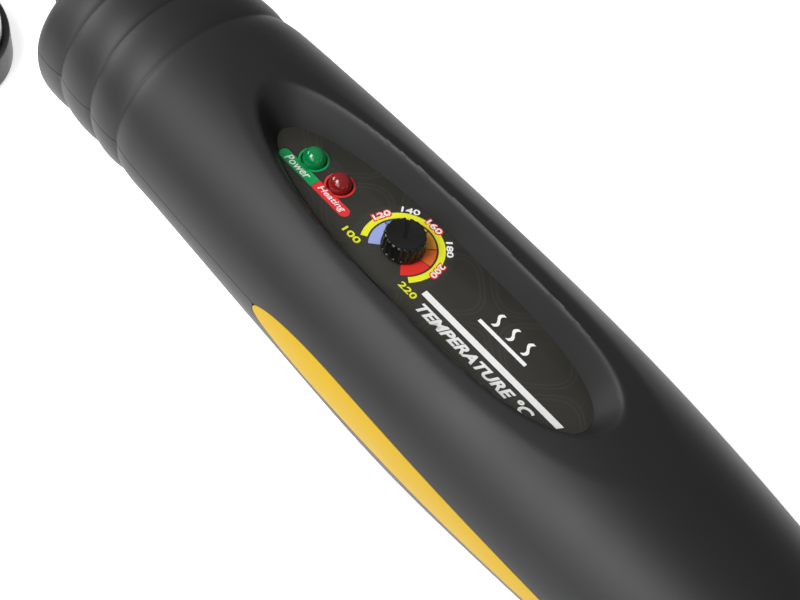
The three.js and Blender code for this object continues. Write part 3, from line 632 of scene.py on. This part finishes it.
def stations(step, rib_step, gap):
    """Stations along the handle, closer at the ribs, at the rear end and at the inserts' tips."""
    found = spaced(NOSE, GROOVES[-1] + 8, round((GROOVES[-1] + 8 - NOSE) / rib_step))
    found += spaced(GROOVES[-1] + 8, TAIL - TAIL_ROUND, round((TAIL - GROOVES[-1] - 22) / step))
    found += [TAIL - TAIL_ROUND * (1 - math.sin(turn)) for turn in spaced(0, math.pi / 2, 22)]
    nose, middle, tail, _ = INSERT_EGG
    for turn in spaced(math.radians(62), math.radians(90), 22):
        found += [middle - (middle - nose + gap) * math.sin(turn)]
        found += [middle + (tail - middle + gap) * math.sin(turn)]
    kept = []
    for x in sorted(found):
        if not kept or x - kept[-1] > 0.02:
            kept.append(x)
    return kept


def end_rows(row, x, hole, hole_z, count=5):
    """Rows of a flat end face, from the form's last row in to the round hole's edge."""
    edge = math.asin((row[0].z - hole_z) / hole)
    over = row[len(row) // 2].z > hole_z
    sweep = (math.pi if over else -math.pi) - 2 * edge
    rows = []
    for share in spaced(0, 1, count)[1:]:
        points = []
        for j, point in enumerate(row):
            turn = edge + sweep * j / (len(row) - 1)
            rim = Vector((x, hole * math.cos(turn), hole_z + hole * math.sin(turn)))
            points.append(point.lerp(rim, share))
        rows.append(points)
    return rows


def shell_sheet(name, turns_at, xs, depth, top):
    rows = []
    for x in xs:
        rows.append([top(body_point(x, turn, depth)) for turn in turns_at(x)])
    nose = end_rows(rows[0], NOSE, NOSE_HOLE, NOSE_HOLE_Z)
    tail = end_rows(rows[-1], TAIL, TAIL_HOLE, TAIL_HOLE_Z)
    return sheet_of(name, nose[::-1] + rows + tail)


def thicken(piece, wall):
    """Turns an open sheet into a shell that grows inwards."""
    tidy_normals(piece)
    modify(piece, "SOLIDIFY", thickness=wall, offset=-1.0)


def grown(name, rings):
    """Starts from a filled circle and extrudes it from one outline to the next."""
    bpy.ops.object.select_all(action="DESELECT")
    bpy.ops.mesh.primitive_circle_add(vertices=len(rings[0]), fill_type="NGON")
    piece = adopt(name)
    for vertex, place in zip(piece.data.vertices, rings[0]):
        vertex.co = place
    edit(piece)
    bpy.ops.mesh.select_all(action="SELECT")
    for lower, upper in zip(rings, rings[1:]):
        bpy.ops.mesh.extrude_region_move()
        shape = bmesh.from_edit_mesh(piece.data)
        places = {tuple(round(c, 4) for c in p): q for p, q in zip(lower, upper)}
        for vertex in [v for v in shape.verts if v.select]:
            vertex.co = places[tuple(round(c, 4) for c in vertex.co)]
        bmesh.update_edit_mesh(piece.data)
    leave()
    tidy_normals(piece)
    return piece


def rounded(piece, width, segments=3, angle=35):
    modify(piece, "BEVEL", width=width, segments=segments, limit_method="ANGLE",
           angle_limit=math.radians(angle), use_clamp_overlap=True)
    return piece


def post(name, radius, low, high, x=0.0, y=0.0, sides=32):
    bpy.ops.object.select_all(action="DESELECT")
    bpy.ops.mesh.primitive_cylinder_add(vertices=sides, radius=radius, depth=high - low,
                                        location=(x, y, (low + high) / 2))
    bpy.ops.object.transform_apply(location=True, rotation=True, scale=True)
    return adopt(name)


def block(name, low, high):
    bpy.ops.object.select_all(action="DESELECT")
    bpy.ops.mesh.primitive_cube_add(size=1)
    piece = adopt(name)
    size = Vector(high) - Vector(low)
    middle = (Vector(high) + Vector(low)) / 2
    piece.data.transform(Matrix.Translation(middle) @ Matrix.Diagonal((*size, 1)))
    return piece


def lettering(name, words, size, at, turn=0.0, top=0.1, slant=0.0, weight=0.0):
    """Printed words as a thin raised mesh of a given width and height round a point."""
    bpy.ops.object.select_all(action="DESELECT")
    bpy.ops.object.text_add()
    text = bpy.context.active_object
    text.data.body = words
    text.data.shear = slant
    text.data.offset = weight
    text.data.extrude = 0.05
    text.data.resolution_u = 4
    bpy.ops.object.convert(target="MESH")
    piece = adopt(name)
    corners = [Vector(c) for c in piece.bound_box]
    low = Vector([min(c[i] for c in corners) for i in range(3)])
    high = Vector([max(c[i] for c in corners) for i in range(3)])
    span = high - low
    scale = Matrix.Diagonal((size[0] / span.x, size[1] / span.y, (top - PRINT_FOOT) / span.z, 1))
    middle = Matrix.Translation(-(low + high) / 2)
    place = Matrix.Translation((*at, (top + PRINT_FOOT) / 2)) @ Matrix.Rotation(turn, 4, "Z")
    piece.data.transform(place @ scale @ middle)
    return piece


def printed(name, outline, top=0.05):
    """A flat printed patch: a filled outline extruded to a thin layer of ink."""
    piece = new_piece(name, [(*p, PRINT_FOOT) for p in outline], faces=[range(len(outline))])
    edit(piece)
    bpy.ops.mesh.select_all(action="SELECT")
    bpy.ops.mesh.extrude_region_move(TRANSFORM_OT_translate={"value": (0, 0, top - PRINT_FOOT)})
    leave()
    tidy_normals(piece)
    return piece


def arc_band(name, inner, outer, start, end, top=0.05):
    """A printed band round the dial between two bearings, counted from the scale's middle."""
    count = max(4, round(abs(end - start) / 3))
    bearings = [math.radians(b) for b in spaced(start, end, count)]
    far = [(outer * math.sin(b), outer * math.cos(b)) for b in bearings]
    near = [(inner * math.sin(b), inner * math.cos(b)) for b in reversed(bearings)]
    return printed(name, far + near, top)


def disc_outline(x, radius, count=48):
    turns = [2 * math.pi * i / count for i in range(count)]
    return [(x + radius * math.cos(t), radius * math.sin(t)) for t in turns]


def pill(start, end, low, high, round_start, round_end):
    """Outline of a printed bar with a rounded end on one or both sides."""
    radius, middle = (high - low) / 2, (high + low) / 2
    points = []
    for x, sign, turned_end in ((end, 1, round_end), (start, -1, round_start)):
        for turn in spaced(-90, 90, 13):
            along = radius * math.cos(math.radians(turn)) if turned_end else 0.0
            across = sign * radius * math.sin(math.radians(turn))
            points.append((x - sign * (radius if turned_end else 0) + sign * along, middle + across))
    kept = [p for i, p in enumerate(points) if (Vector(p) - Vector(points[i - 1])).length > 1e-3]
    return kept


# ---- Pieces of the handle ------------------------------------------------------------------------


class SEALING_OT_upper_shell(bpy.types.Operator):
    """Ribbed upper shell with its shallow dish and the sunk panel recess"""
    bl_idname = "sealing.upper_shell"
    bl_label = "Upper shell"

    def execute(self, context):
        settings = context.scene.sealing_handle
        half_gap = settings.seam_gap / 2

        def turns_at(x):
            first = edge_turn(x, slot_edges(x, half_gap)[1], settings.groove_depth)
            half = section(x)[0] + rib_offset(x, settings.groove_depth)
            band = min(TOP_HALF, 0.62 * half)
            flank = [first + (math.acos(band / half) - first) * i / 22 for i in range(22)]
            across = [math.acos(y / half) for y in spaced(band, -band, 61)]
            return flank + across + [math.pi - turn for turn in reversed(flank)]

        def sunk(point):
            wall = recess_height(point.x, point.y)
            point.z = lower_of(point.z, wall, settings.rim_round) if wall < 12 else point.z
            return point

        xs = stations(0.46, 0.3, INSERT_GAP)
        shell = shell_sheet("upper_shell_skin", turns_at, xs, settings.groove_depth, sunk)
        thicken(shell, settings.wall)
        holes = [post("hole", LENS_HOLE, -5, 1, x) for x in LAMPS.values()]
        carve(shell, [join("holes", holes + [post("hole", SHAFT_HOLE, -5, 1)])])
        soft = shell_finish("soft_touch_upper", settings.shell_colour)
        set_in_place(shell, HANDLE, soft, ["upper_shell"])
        return {"FINISHED"}


class SEALING_OT_lower_shell(bpy.types.Operator):
    """Ribbed lower shell with four counterbores for the case screws"""
    bl_idname = "sealing.lower_shell"
    bl_label = "Lower shell"

    def execute(self, context):
        settings = context.scene.sealing_handle
        half_gap = settings.seam_gap / 2

        def turns_at(x):
            first = edge_turn(x, slot_edges(x, half_gap)[0], settings.groove_depth)
            return spaced(first, -math.pi - first, 81)

        xs = stations(1.1, 0.34, INSERT_GAP)
        shell = shell_sheet("lower_shell_skin", turns_at, xs, settings.groove_depth, lambda p: p)
        thicken(shell, settings.wall)
        bosses = [post("boss", 4.4, -22.5 if x < 0 else -25.5, -12, x, y) for x, y in CASE_SCREW_SPOTS]
        carve(shell, [join("bosses", bosses)], "UNION")
        bores = [post("bore", 3.0, -30, SCREW_SEAT + 0.3, x, y) for x, y in CASE_SCREW_SPOTS]
        carve(shell, [join("bores", bores)])
        soft = shell_finish("soft_touch_lower", settings.shell_colour)
        set_in_place(shell, HANDLE, soft, ["lower_shell"])
        return {"FINISHED"}


class SEALING_OT_side_inserts(bpy.types.Operator):
    """Two long rounded inserts set flush in the seam at the handle's sides"""
    bl_idname = "sealing.side_inserts"
    bl_label = "Side inserts"

    def execute(self, context):
        settings = context.scene.sealing_handle
        yellow = finish("insert_plastic", settings.insert_colour, 0.5, grain=0.25, bump=0.08,
                        patch=14, shade=0.95, Specular_IOR_Level=0.12)
        for side, name in ((1, "right"), (-1, "left")):
            rows = []
            for turn in spaced(-math.pi / 2 + 0.02, math.pi / 2 - 0.02, 120):
                nose, middle, tail, _ = INSERT_EGG
                x = middle + (tail - middle if turn > 0 else middle - nose) * math.sin(turn)
                low, top = insert_edges(x)
                first, last = (edge_turn(x, z, settings.groove_depth) for z in (low, top))
                row = [body_point(x, t, settings.groove_depth) for t in spaced(first, last, 13)]
                rows.append([Vector((p.x, side * p.y, p.z)) for p in row])
            if side < 0:
                rows = [row[::-1] for row in rows]
            insert = sheet_of("side_insert_" + name + "_skin", rows)
            modify(insert, "SOLIDIFY", thickness=1.2, offset=-1.0)
            tidy_normals(insert)
            set_in_place(insert, HANDLE, yellow, ["side_insert_" + name])
        return {"FINISHED"}


class SEALING_OT_label(bpy.types.Operator):
    """Printed label in the recess, with its holes for the lamps and the dial's shaft"""
    bl_idname = "sealing.label"
    bl_label = "Panel label"

    def execute(self, context):
        settings = context.scene.sealing_panel
        label = grown("label_plate", [egg_ring(LABEL_EGG, z, -0.05) for z in (-0.6, 0)])
        rounded(label, 0.1, 2)
        holes = [post("hole", LENS_HOLE, -3, 3, x) for x in LAMPS.values()]
        carve(label, [join("holes", holes + [post("hole", SHAFT_HOLE, -3, 3)])])
        ground = label_finish(settings.label_colour)
        set_in_place(label, HANDLE, ground, ["panel_label"])
        return {"FINISHED"}


class SEALING_OT_print(bpy.types.Operator):
    """Printed scale, numbers, lamp names, bar, caption and heat symbol"""
    bl_idname = "sealing.print"
    bl_label = "Label print"

    def execute(self, context):
        settings = context.scene.sealing_panel
        white = ink("white_ink", WHITE_INK)
        yellow = ink("yellow_ink", settings.scale_colour)
        green = ink("green_ink", settings.power_colour)
        red = ink("red_ink", settings.heating_colour)

        bands = [
            (-137, -79, (0.33, 0.40, 0.74)), (-79, -40, (0.13, 0.25, 0.66)),
            (-40, 0, (0.85, 0.62, 0.03)), (0, 40, (0.85, 0.33, 0.02)),
            (40, 79, (0.75, 0.14, 0.015)), (79, 137, (0.75, 0.03, 0.02)),
        ]
        for i, (start, end, colour) in enumerate(bands, 1):
            band = arc_band(f"scale_band_{i}", 3.2, 5.9, start + 1.2, end - 1.2)
            self.lay(band, ink(f"scale_ink_{i}", colour))
        self.lay(arc_band("scale_arc", 6.25, 7.45, -123.5, 123.5), yellow)

        numbers = {"120": -77, "140": -38, "160": 0, "180": 39, "200": 78}
        for words, bearing in numbers.items():
            plain = words in ("140", "180")
            turn = math.radians(bearing)
            far = 8.15 if plain else 7.45
            at = (far * math.sin(turn), far * math.cos(turn))
            if not plain:
                rim = lettering("edge_" + words, words, (3.75, 1.65), at, -turn, 0.08, weight=0.07)
                self.lay(rim, red)
            digits = lettering("number_" + words, words, (3.3, 1.2), at, -turn, 0.12, weight=0.02)
            self.lay(digits, white)
        for words, at in (("100", (-7.0, -5.4)), ("220", (7.3, -5.3))):
            self.lay(lettering("number_" + words, words, (3.9, 1.3), at, weight=0.02), yellow)

        self.lay(printed("power_name_ground", pill(-28.3, -19.2, -4.3, -2.2, True, False)), green)
        self.lay(printed("heating_name_ground", pill(-19.1, -10.5, -4.3, -2.2, False, True)), red)
        names = (("Power", -23.7, 6.0), ("Heating", -14.9, 6.6))
        for words, x, width in names:
            name = lettering("name_" + words, words, (width, 1.55), (x, -3.25), 0, 0.1, 0.25, 0.01)
            self.lay(name, white)
        for lamp, colour in (("power", green), ("heating", red)):
            ring = printed(lamp + "_lamp_ring", disc_outline(LAMPS[lamp], 2.75))
            carve(ring, [post("hole", LENS_HOLE - 0.02, -3, 3, LAMPS[lamp])])
            self.lay(ring, colour)

        bar = [(9.2, -3.9), (42.2, -3.9), (42.8, -2.7), (9.2, -2.7)]
        self.lay(printed("panel_bar", bar), white)
        caption = lettering("caption", "TEMPERATURE °C", (27.4, 2.2), (24.5, -5.8), 0, 0.1, 0.3,
                            0.035)
        self.lay(caption, white)
        self.lay(self.heat_symbol(), white)
        return {"FINISHED"}

    def lay(self, piece, material):
        set_in_place(piece, HANDLE, material, angle=30)

    def heat_symbol(self):
        """Three wavy lines over a short bar."""
        parts = [printed("symbol", [(18.8, 0.2), (30.2, 0.2), (30.2, 0.9), (18.8, 0.9)])]
        for x in (20.9, 24.5, 28.1):
            heights = spaced(1.6, 4.7, 17)
            wave = [0.45 * math.sin(2 * math.pi * (y - 1.6) / 3.1) for y in heights]
            right = [(x + w + 0.33, y) for w, y in zip(wave, heights)]
            left = [(x + w - 0.33, y) for w, y in zip(wave, heights)]
            parts.append(printed("wave", right + left[::-1]))
        return join("heat_symbol", parts)


class SEALING_OT_lamps(bpy.types.Operator):
    """Two domed lamps that stand out of the label"""
    bl_idname = "sealing.lamps"
    bl_label = "Lamps"

    def execute(self, context):
        settings = context.scene.sealing_panel
        colours = {"power": settings.power_colour, "heating": settings.heating_colour}
        for lamp, x in LAMPS.items():
            profile = [(0, -3.6), (2.5, -3.6), (2.5, -3.0), (LENS_RADIUS, -3.0)]
            for turn in spaced(0, math.pi / 2, 14):
                profile.append((LENS_RADIUS * math.cos(turn), 0.4 + LENS_RADIUS * math.sin(turn)))
            lens = turned(lamp + "_lamp", profile)
            shift(lens, x)
            # The lens carries a painted glow, an emission in place of light seen in the dome.
            painted_glow = lens_finish(lamp + "_lens", colours[lamp])
            set_in_place(lens, HANDLE, painted_glow, [lamp + "_led"])
        return {"FINISHED"}


class SEALING_OT_knob(bpy.types.Operator):
    """Small fluted knob with a pointer slot in its top"""
    bl_idname = "sealing.knob"
    bl_label = "Temperature knob"

    def execute(self, context):
        settings = context.scene.sealing_panel
        radius, flutes, steps = settings.knob_radius, 18, 10
        foot, crown = 0.3, 3.8

        def ring(size, z, depth):
            points = []
            for i in range(flutes * steps):
                turn = 2 * math.pi * i / (flutes * steps)
                groove = depth * abs(math.sin(math.pi * i / steps)) ** 6
                points.append(((size - groove) * math.cos(turn), (size - groove) * math.sin(turn), z))
            return points

        rings = [
            ring(radius - 0.1, foot, 0), ring(radius, foot + 0.12, 0), ring(radius, foot + 0.5, 0),
            ring(radius - 0.03, foot + 0.62, 0.28), ring(radius - 0.2, crown - 0.45, 0.28),
            ring(radius - 0.34, crown - 0.12, 0.2), ring(radius - 0.5, crown, 0.05),
            ring(radius - 0.9, crown, 0), ring(radius - 1.05, crown - 0.1, 0),
        ]
        knob = grown("fluted_knob", rings)
        slot = block("slot", (-1.0, -0.36, crown - 0.75), (radius + 1, 0.36, crown + 1))
        slot.data.transform(Matrix.Rotation(math.pi / 2 - settings.pointer_bearing, 4, "Z"))
        carve(knob, [slot, post("bore", 1.8, -1, 2.5)])
        gloss = finish("glossy_knob", (0.005, 0.005, 0.005), 0.27, grain=0.3, bump=0.03, patch=3,
                       shade=0.7)
        set_in_place(knob, HANDLE, gloss, ["temperature_knob"], "dial", 35)
        return {"FINISHED"}


class SEALING_OT_nose_collar(bpy.types.Operator):
    """Heat-resisting collar that carries the neck out of the nose"""
    bl_idname = "sealing.nose_collar"
    bl_label = "Nose collar"

    def execute(self, context):
        face = NOSE - 0.3
        profile = [(4.8, COLLAR_INNER), (10.0, COLLAR_INNER), (10.0, face), (12.4, face)]
        profile += [(12.6, face - 0.3), (12.6, face - 1.8), (12.2, face - 2.4), (11.2, face - 3.0)]
        for i in range(4):
            foot = face - 3.3 - 1.35 * i
            wide = 10.6 - 0.95 * i
            profile += [(wide, foot), (wide, foot - 0.7), (wide - 0.7, foot - 0.85)]
            profile += [(wide - 0.75, foot - 1.25)]
        profile += [(7.0, face - 9.0), (4.8, face - 9.0), (4.8, COLLAR_INNER)]
        collar = turned("ribbed_collar", profile, 72, "X")
        shift(collar, z=NOSE_HOLE_Z)
        resin = finish("collar_resin", (0.045, 0.022, 0.013), 0.5, grain=0.5, bump=0.25, patch=6)
        set_in_place(collar, HANDLE, resin, ["nose_collar"])
        return {"FINISHED"}


class SEALING_OT_cord_gland(bpy.types.Operator):
    """Rubber gland round the cord's inlet at the tail"""
    bl_idname = "sealing.cord_gland"
    bl_label = "Cord gland"

    def execute(self, context):
        inner, face = TAIL - 5.5, TAIL + 0.3
        profile = [(1.9, inner), (4.7, inner), (4.7, face), (6.5, face), (6.7, face + 0.25)]
        profile += [(6.5, face + 0.9), (5.9, face + 1.3), (5.4, face + 1.4), (5.3, face + 1.8)]
        profile += [(4.7, face + 2.5), (3.9, face + 2.95), (2.5, face + 3.0), (1.9, face + 2.7)]
        profile += [(1.9, inner)]
        gland = turned("rubber_gland", profile, 56, "X")
        shift(gland, z=TAIL_HOLE_Z)
        rubber = finish("gland_rubber", (0.012, 0.012, 0.012), 0.75, grain=0.4, bump=0.3, patch=5)
        set_in_place(gland, HANDLE, rubber, ["cord_gland"])
        return {"FINISHED"}


# ---- Pieces of the neck and the shoe -------------------------------------------------------------


def neck_line():
    """Points of the neck's centre line with its direction at each, in millimetres in the row."""
    place = ROW.inverted() @ HANDLE
    turn = place.to_3x3().normalized()
    start = place @ Vector((NECK_INNER, 0, NOSE_HOLE_Z))
    bend = place @ Vector((NOSE - NECK_STRAIGHT, 0, NOSE_HOLE_Z))
    forward = turn @ Vector((-1, 0, 0))
    up = turn @ Vector((0, 0, 1))
    centre = bend - NECK_BEND * up
    line = [(start, forward), (start.lerp(bend, 0.5), forward)]
    for angle in spaced(0, TILT + NECK_DROP, 40):
        way = forward * math.cos(angle) - up * math.sin(angle)
        outward = up * math.cos(angle) + forward * math.sin(angle)
        line.append((centre + NECK_BEND * outward, way))
    last, way = line[-1]
    line.append((last + way * (last.z - FLANGE_TOP) / -way.z, way))
    return line


class SEALING_OT_neck_tube(bpy.types.Operator):
    """Bent steel tube between the handle and the shoe"""
    bl_idname = "sealing.neck_tube"
    bl_label = "Neck tube"

    def execute(self, context):
        rows = []
        for point, way in neck_line():
            over = Vector((0, 1, 0)).cross(way)
            turns = [2 * math.pi * i / 48 for i in range(48)]
            rows.append([point + NECK_RADIUS * (math.cos(t) * over + Vector((0, math.sin(t), 0)))
                         for t in turns])
        tube = sheet_of("bent_tube", rows, closed=True)
        thicken(tube, NECK_RADIUS - NECK_BORE)
        steel = heated_steel("neck_steel", context.scene.sealing_shoe.steel_colour)
        set_in_place(tube, ROW, steel, ["neck_tube"])
        return {"FINISHED"}


class SEALING_OT_neck_socket(bpy.types.Operator):
    """Flange with a slanted sleeve that holds the neck on the shoe"""
    bl_idname = "sealing.neck_socket"
    bl_label = "Neck socket"

    def execute(self, context):
        foot = neck_line()[-1][0]
        outline = (foot.x - FLANGE_REACH, foot.x, foot.x + FLANGE_REACH, FLANGE_HALF)
        flange = grown("socket_flange", [
            egg_ring(outline, z, powers=(3, 3, 2)) for z in (FLANGE_FOOT, FLANGE_TOP)])
        rounded(flange, 0.5, 3)
        lean = Matrix.Translation(foot) @ Matrix.Rotation(NECK_DROP - math.pi / 2, 4, "Y")
        sleeve = turned("sleeve", [(0, -9), (6.5, -9), (6.5, 11.6), (6.3, 12.4), (5.9, 12.9),
                                   (5.3, 13), (0, 13)], 56)
        sleeve.data.transform(lean)
        edit(sleeve)
        bpy.ops.mesh.select_all(action="SELECT")
        bpy.ops.mesh.bisect(plane_co=(0, 0, FLANGE_FOOT + 0.2), plane_no=(0, 0, 1),
                            clear_inner=True, use_fill=True)
        leave()
        tidy_normals(sleeve)
        carve(flange, [sleeve], "UNION")
        bore = turned("bore", [(0, 0), (4.8, 0), (4.8, 20), (0, 20)], 56)
        bore.data.transform(lean)
        carve(flange, [bore])
        zinc = brushed_finish("cast_zinc", (0.48, 0.48, 0.47), 0.42, (900, 900, 900))
        set_in_place(flange, ROW, zinc, ["neck_socket"])
        return {"FINISHED"}


class SEALING_OT_shoe(bpy.types.Operator):
    """Flat heated shoe with rounded edges and its non-stick coat"""
    bl_idname = "sealing.shoe"
    bl_label = "Shoe"

    def execute(self, context):
        settings = context.scene.sealing_shoe
        rings = [egg_ring(SOLE_EGG, z, grow, SOLE_POWERS, 144)
                 for z, grow in ((0, -1), (0.12, -0.5), (0.5, -0.12), (1, 0), (7, 0))]
        shoe = grown("coated_shoe", rings)
        edit(shoe)
        select_faces(shoe, lambda centre, normal: normal.z > 0.9)
        bpy.ops.mesh.inset(thickness=2.2)
        bpy.ops.transform.translate(value=(0, 0, -0.6))
        leave()
        rounded(shoe, settings.edge_round / MM * 0.6, 3, 60)
        coat = finish("non_stick_coat", settings.coat_colour, 0.38, metallic=0.25, grain=0.35,
                      bump=0.2, patch=7, shade=0.75, spread=0.1)
        set_in_place(shoe, ROW, coat, ["shoe"])
        return {"FINISHED"}


class SEALING_OT_shoe_cover(bpy.types.Operator):
    """Domed steel cover over the shoe's heating element"""
    bl_idname = "sealing.shoe_cover"
    bl_label = "Shoe cover"

    def execute(self, context):
        levels = [(COVER_FOOT, 1.6), (COVER_FOOT + 0.3, 1.6)]
        for turn in spaced(0, math.pi / 2, 12)[1:]:
            levels.append((COVER_FOOT + 1.2 + 7.5 * math.sin(turn), 1.6 + 5.6 * (1 - math.cos(turn))))
        cover = grown("domed_cover", [
            egg_ring(SOLE_EGG, z, -inset, SOLE_POWERS, 120) for z, inset in levels])
        holes = [post("hole", 1.8, 0, 30, x) for x in SHOE_SCREWS]
        carve(cover, [join("holes", holes)])
        steel = brushed_finish("brushed_cover", context.scene.sealing_shoe.steel_colour, 0.3,
                               (300, 9000, 3000))
        set_in_place(cover, ROW, steel, ["shoe_cover"])
        return {"FINISHED"}


class SEALING_OT_screws(bpy.types.Operator):
    """Pan-head screws of the shoe, the socket and the handle"""
    bl_idname = "sealing.screws"
    bl_label = "Screws"

    def execute(self, context):
        steel = finish("screw_steel", (0.52, 0.52, 0.53), 0.3, metallic=1.0, grain=0.3, bump=0.05,
                       patch=1.5, shade=0.85)
        foot = neck_line()[-1][0]
        flip = Matrix.Rotation(math.pi, 4, "X")
        places = []
        for i, x in enumerate(SHOE_SCREWS, 1):
            places.append((f"shoe_screw_{i}", ROW, (x, 0, COVER_TOP + 0.3), (1.5, 2.8, 12.8)))
        for i, way in enumerate((-1, 1), 1):
            at = (foot.x + way * SOCKET_SCREW_REACH, 0, FLANGE_TOP + 0.3)
            places.append((f"socket_screw_{i}", ROW, at, (1.5, 2.8, 5.6)))
        for i, (x, y) in enumerate(CASE_SCREW_SPOTS, 1):
            places.append((f"case_screw_{i}", HANDLE, (x, y, SCREW_SEAT), (1.3, 2.65, 17.5)))
        for node, frame_place, at, (shank, head, length) in places:
            made = self.screw(node + "_pan_head", shank, head, length)
            way = flip if node.startswith("case") else Matrix.Identity(4)
            place = frame_place @ Matrix.Translation(at) @ way
            set_in_place(made, place, steel, [node])
        return {"FINISHED"}

    def screw(self, name, shank, head, length):
        """A pan head with a cross recess, its head's underside at the origin."""
        profile = [(0, -length), (shank * 0.6, -length), (shank, -length + 1), (shank, 0), (head, 0)]
        for turn in spaced(0, 80, 6):
            reach = math.radians(turn)
            profile.append((head - 0.9 + 0.9 * math.cos(reach), 0.75 + 0.9 * math.sin(reach)))
        profile.append((0, 1.7))
        screw = turned(name, profile, 40)
        arms = [block("arm", (-a, -b, 0.75), (a, b, 3)) for a, b in ((1.5, 0.3), (0.3, 1.5))]
        carve(screw, arms)
        return screw


class SEALING_OT_inner_parts(bpy.types.Operator):
    """Finishes of the frame's own pieces inside the handle, the neck and the shoe"""
    bl_idname = "sealing.inner_parts"
    bl_label = "Inner parts"

    def execute(self, context):
        looks = {
            "board": (["circuit_board"], finish("board_lacquer", (0.012, 0.10, 0.035), 0.35)),
            "black": (["dial_potentiometer", "control_chip", "triac", "cord_clamp"],
                      finish("component_black", (0.012, 0.012, 0.013), 0.5, bump=0.15)),
            "ceramic": (["dropper_resistor", "heating_element", "temperature_sensor"],
                        finish("fired_ceramic", (0.75, 0.71, 0.62), 0.7, bump=0.2)),
            "sleeve": (["smoothing_capacitor"], finish("can_sleeve", (0.02, 0.03, 0.10), 0.3)),
            "terminal": (["sensor_connector", "terminal_block"],
                         finish("terminal_plastic", (0.03, 0.20, 0.08), 0.45)),
            "aluminium": (["heat_sink"], brushed_finish("extruded_aluminium", (0.6, 0.61, 0.62), 0.38,
                                                        (300, 9000, 3000))),
            "zinc": (["pressure_plate", "neck_flange"],
                     brushed_finish("zinc_plate", (0.5, 0.5, 0.48), 0.4, (2000, 2000, 2000))),
            "steel": (["board_screw_1", "board_screw_2", "clamp_screw_1", "clamp_screw_2",
                       "potentiometer_shaft"],
                      brushed_finish("turned_steel", (0.52, 0.52, 0.53), 0.3, (2500, 2500, 900))),
            "lead": (["heater_lead_1", "heater_lead_2", "sensor_lead"],
                     finish("glass_sleeve", (0.68, 0.65, 0.58), 0.65, grain=0.4, bump=0.4)),
        }
        for nodes, material in looks.values():
            for name in nodes:
                node = frame["nodes"][name]
                node.data.materials.clear()
                node.data.materials.append(material)
        return {"FINISHED"}


class SEALING_OT_stage(bpy.types.Operator):
    """Pale floor, soft studio light and the camera"""
    bl_idname = "sealing.stage"
    bl_label = "Stage"

    def execute(self, context):
        settings = context.scene.sealing_stage
        bpy.ops.object.select_all(action="DESELECT")
        bpy.ops.mesh.primitive_plane_add(size=6, location=(0, 0, -0.0002))
        floor = adopt("floor")
        floor.data.materials.append(finish("floor_paper", settings.floor_colour, 0.85, bump=0.0,
                                           patch=400, shade=0.99, spread=0.02,
                                           Emission_Color=(1, 1, 1, 1), Emission_Strength=0.7))
        world = bpy.data.worlds.new("studio")
        world.use_nodes = True
        world.node_tree.nodes["Background"].inputs["Color"].default_value = (1, 1, 1, 1)
        world.node_tree.nodes["Background"].inputs["Strength"].default_value = 0.24
        context.scene.world = world
        lights = [
            ("key", (-0.15, 0.65, 0.95), 0.5, 9.0),
            ("left_fill", (-0.45, 0.85, 0.50), 0.7, 5.0),
            ("nose_strip", (0.65, 0.35, 0.55), 0.45, 5.0),
        ]
        for name, at, size, power in lights:
            bpy.ops.object.select_all(action="DESELECT")
            bpy.ops.object.light_add(type="AREA", location=at)
            light = bpy.context.active_object
            light.name = light.data.name = name
            light.data.size = size
            light.data.energy = power
            light.rotation_euler = (DIAL - Vector(at)).to_track_quat("-Z", "Y").to_euler()
        away = Vector((
            math.cos(settings.elevation) * math.cos(settings.azimuth),
            math.cos(settings.elevation) * math.sin(settings.azimuth),
            math.sin(settings.elevation),
        ))
        spot = DIAL + settings.distance * away
        bpy.ops.object.select_all(action="DESELECT")
        bpy.ops.object.camera_add(location=spot)
        camera = bpy.context.active_object
        camera.data.lens = settings.lens
        camera.data.clip_start = 0.01
        camera.rotation_euler = (DIAL + Vector(AIM) - spot).to_track_quat("-Z", "Y").to_euler()
        context.scene.camera = camera
        context.scene.view_settings.view_transform = "Standard"
        return {"FINISHED"}


# ---- Panel and registration ----------------------------------------------------------------------

STEPS = (
    SEALING_OT_upper_shell, SEALING_OT_lower_shell, SEALING_OT_side_inserts, SEALING_OT_label,
    SEALING_OT_print, SEALING_OT_lamps, SEALING_OT_knob, SEALING_OT_nose_collar,
    SEALING_OT_cord_gland, SEALING_OT_neck_tube, SEALING_OT_neck_socket, SEALING_OT_shoe,
    SEALING_OT_shoe_cover, SEALING_OT_screws, SEALING_OT_inner_parts, SEALING_OT_stage,
)


class SEALING_PT_panel(bpy.types.Panel):
    bl_label = "Sealing Iron"
    bl_idname = "SEALING_PT_panel"
    bl_space_type = "VIEW_3D"
    bl_region_type = "UI"
    bl_category = "Sealing Iron"

    def draw(self, context):
        for name, group in SETTINGS.items():
            box = self.layout.box()
            for field in group.__annotations__:
                box.prop(getattr(context.scene, name), field)
        for step in STEPS:
            self.layout.operator(step.bl_idname)


SETTINGS = {
    "sealing_handle": HandleSettings,
    "sealing_panel": PanelSettings,
    "sealing_shoe": ShoeSettings,
    "sealing_stage": StageSettings,
}


def register():
    for kind in (*SETTINGS.values(), *STEPS, SEALING_PT_panel):
        bpy.utils.register_class(kind)
    for name, group in SETTINGS.items():
        setattr(bpy.types.Scene, name, bpy.props.PointerProperty(type=group))


def unregister():
    for name in SETTINGS:
        delattr(bpy.types.Scene, name)
    for kind in reversed((*SETTINGS.values(), *STEPS, SEALING_PT_panel)):
        bpy.utils.unregister_class(kind)


def main():
    register()
    for step in STEPS:
        group, name = step.bl_idname.split(".")
        getattr(getattr(bpy.ops, group), name)()


if __name__ == "__main__":
    main()
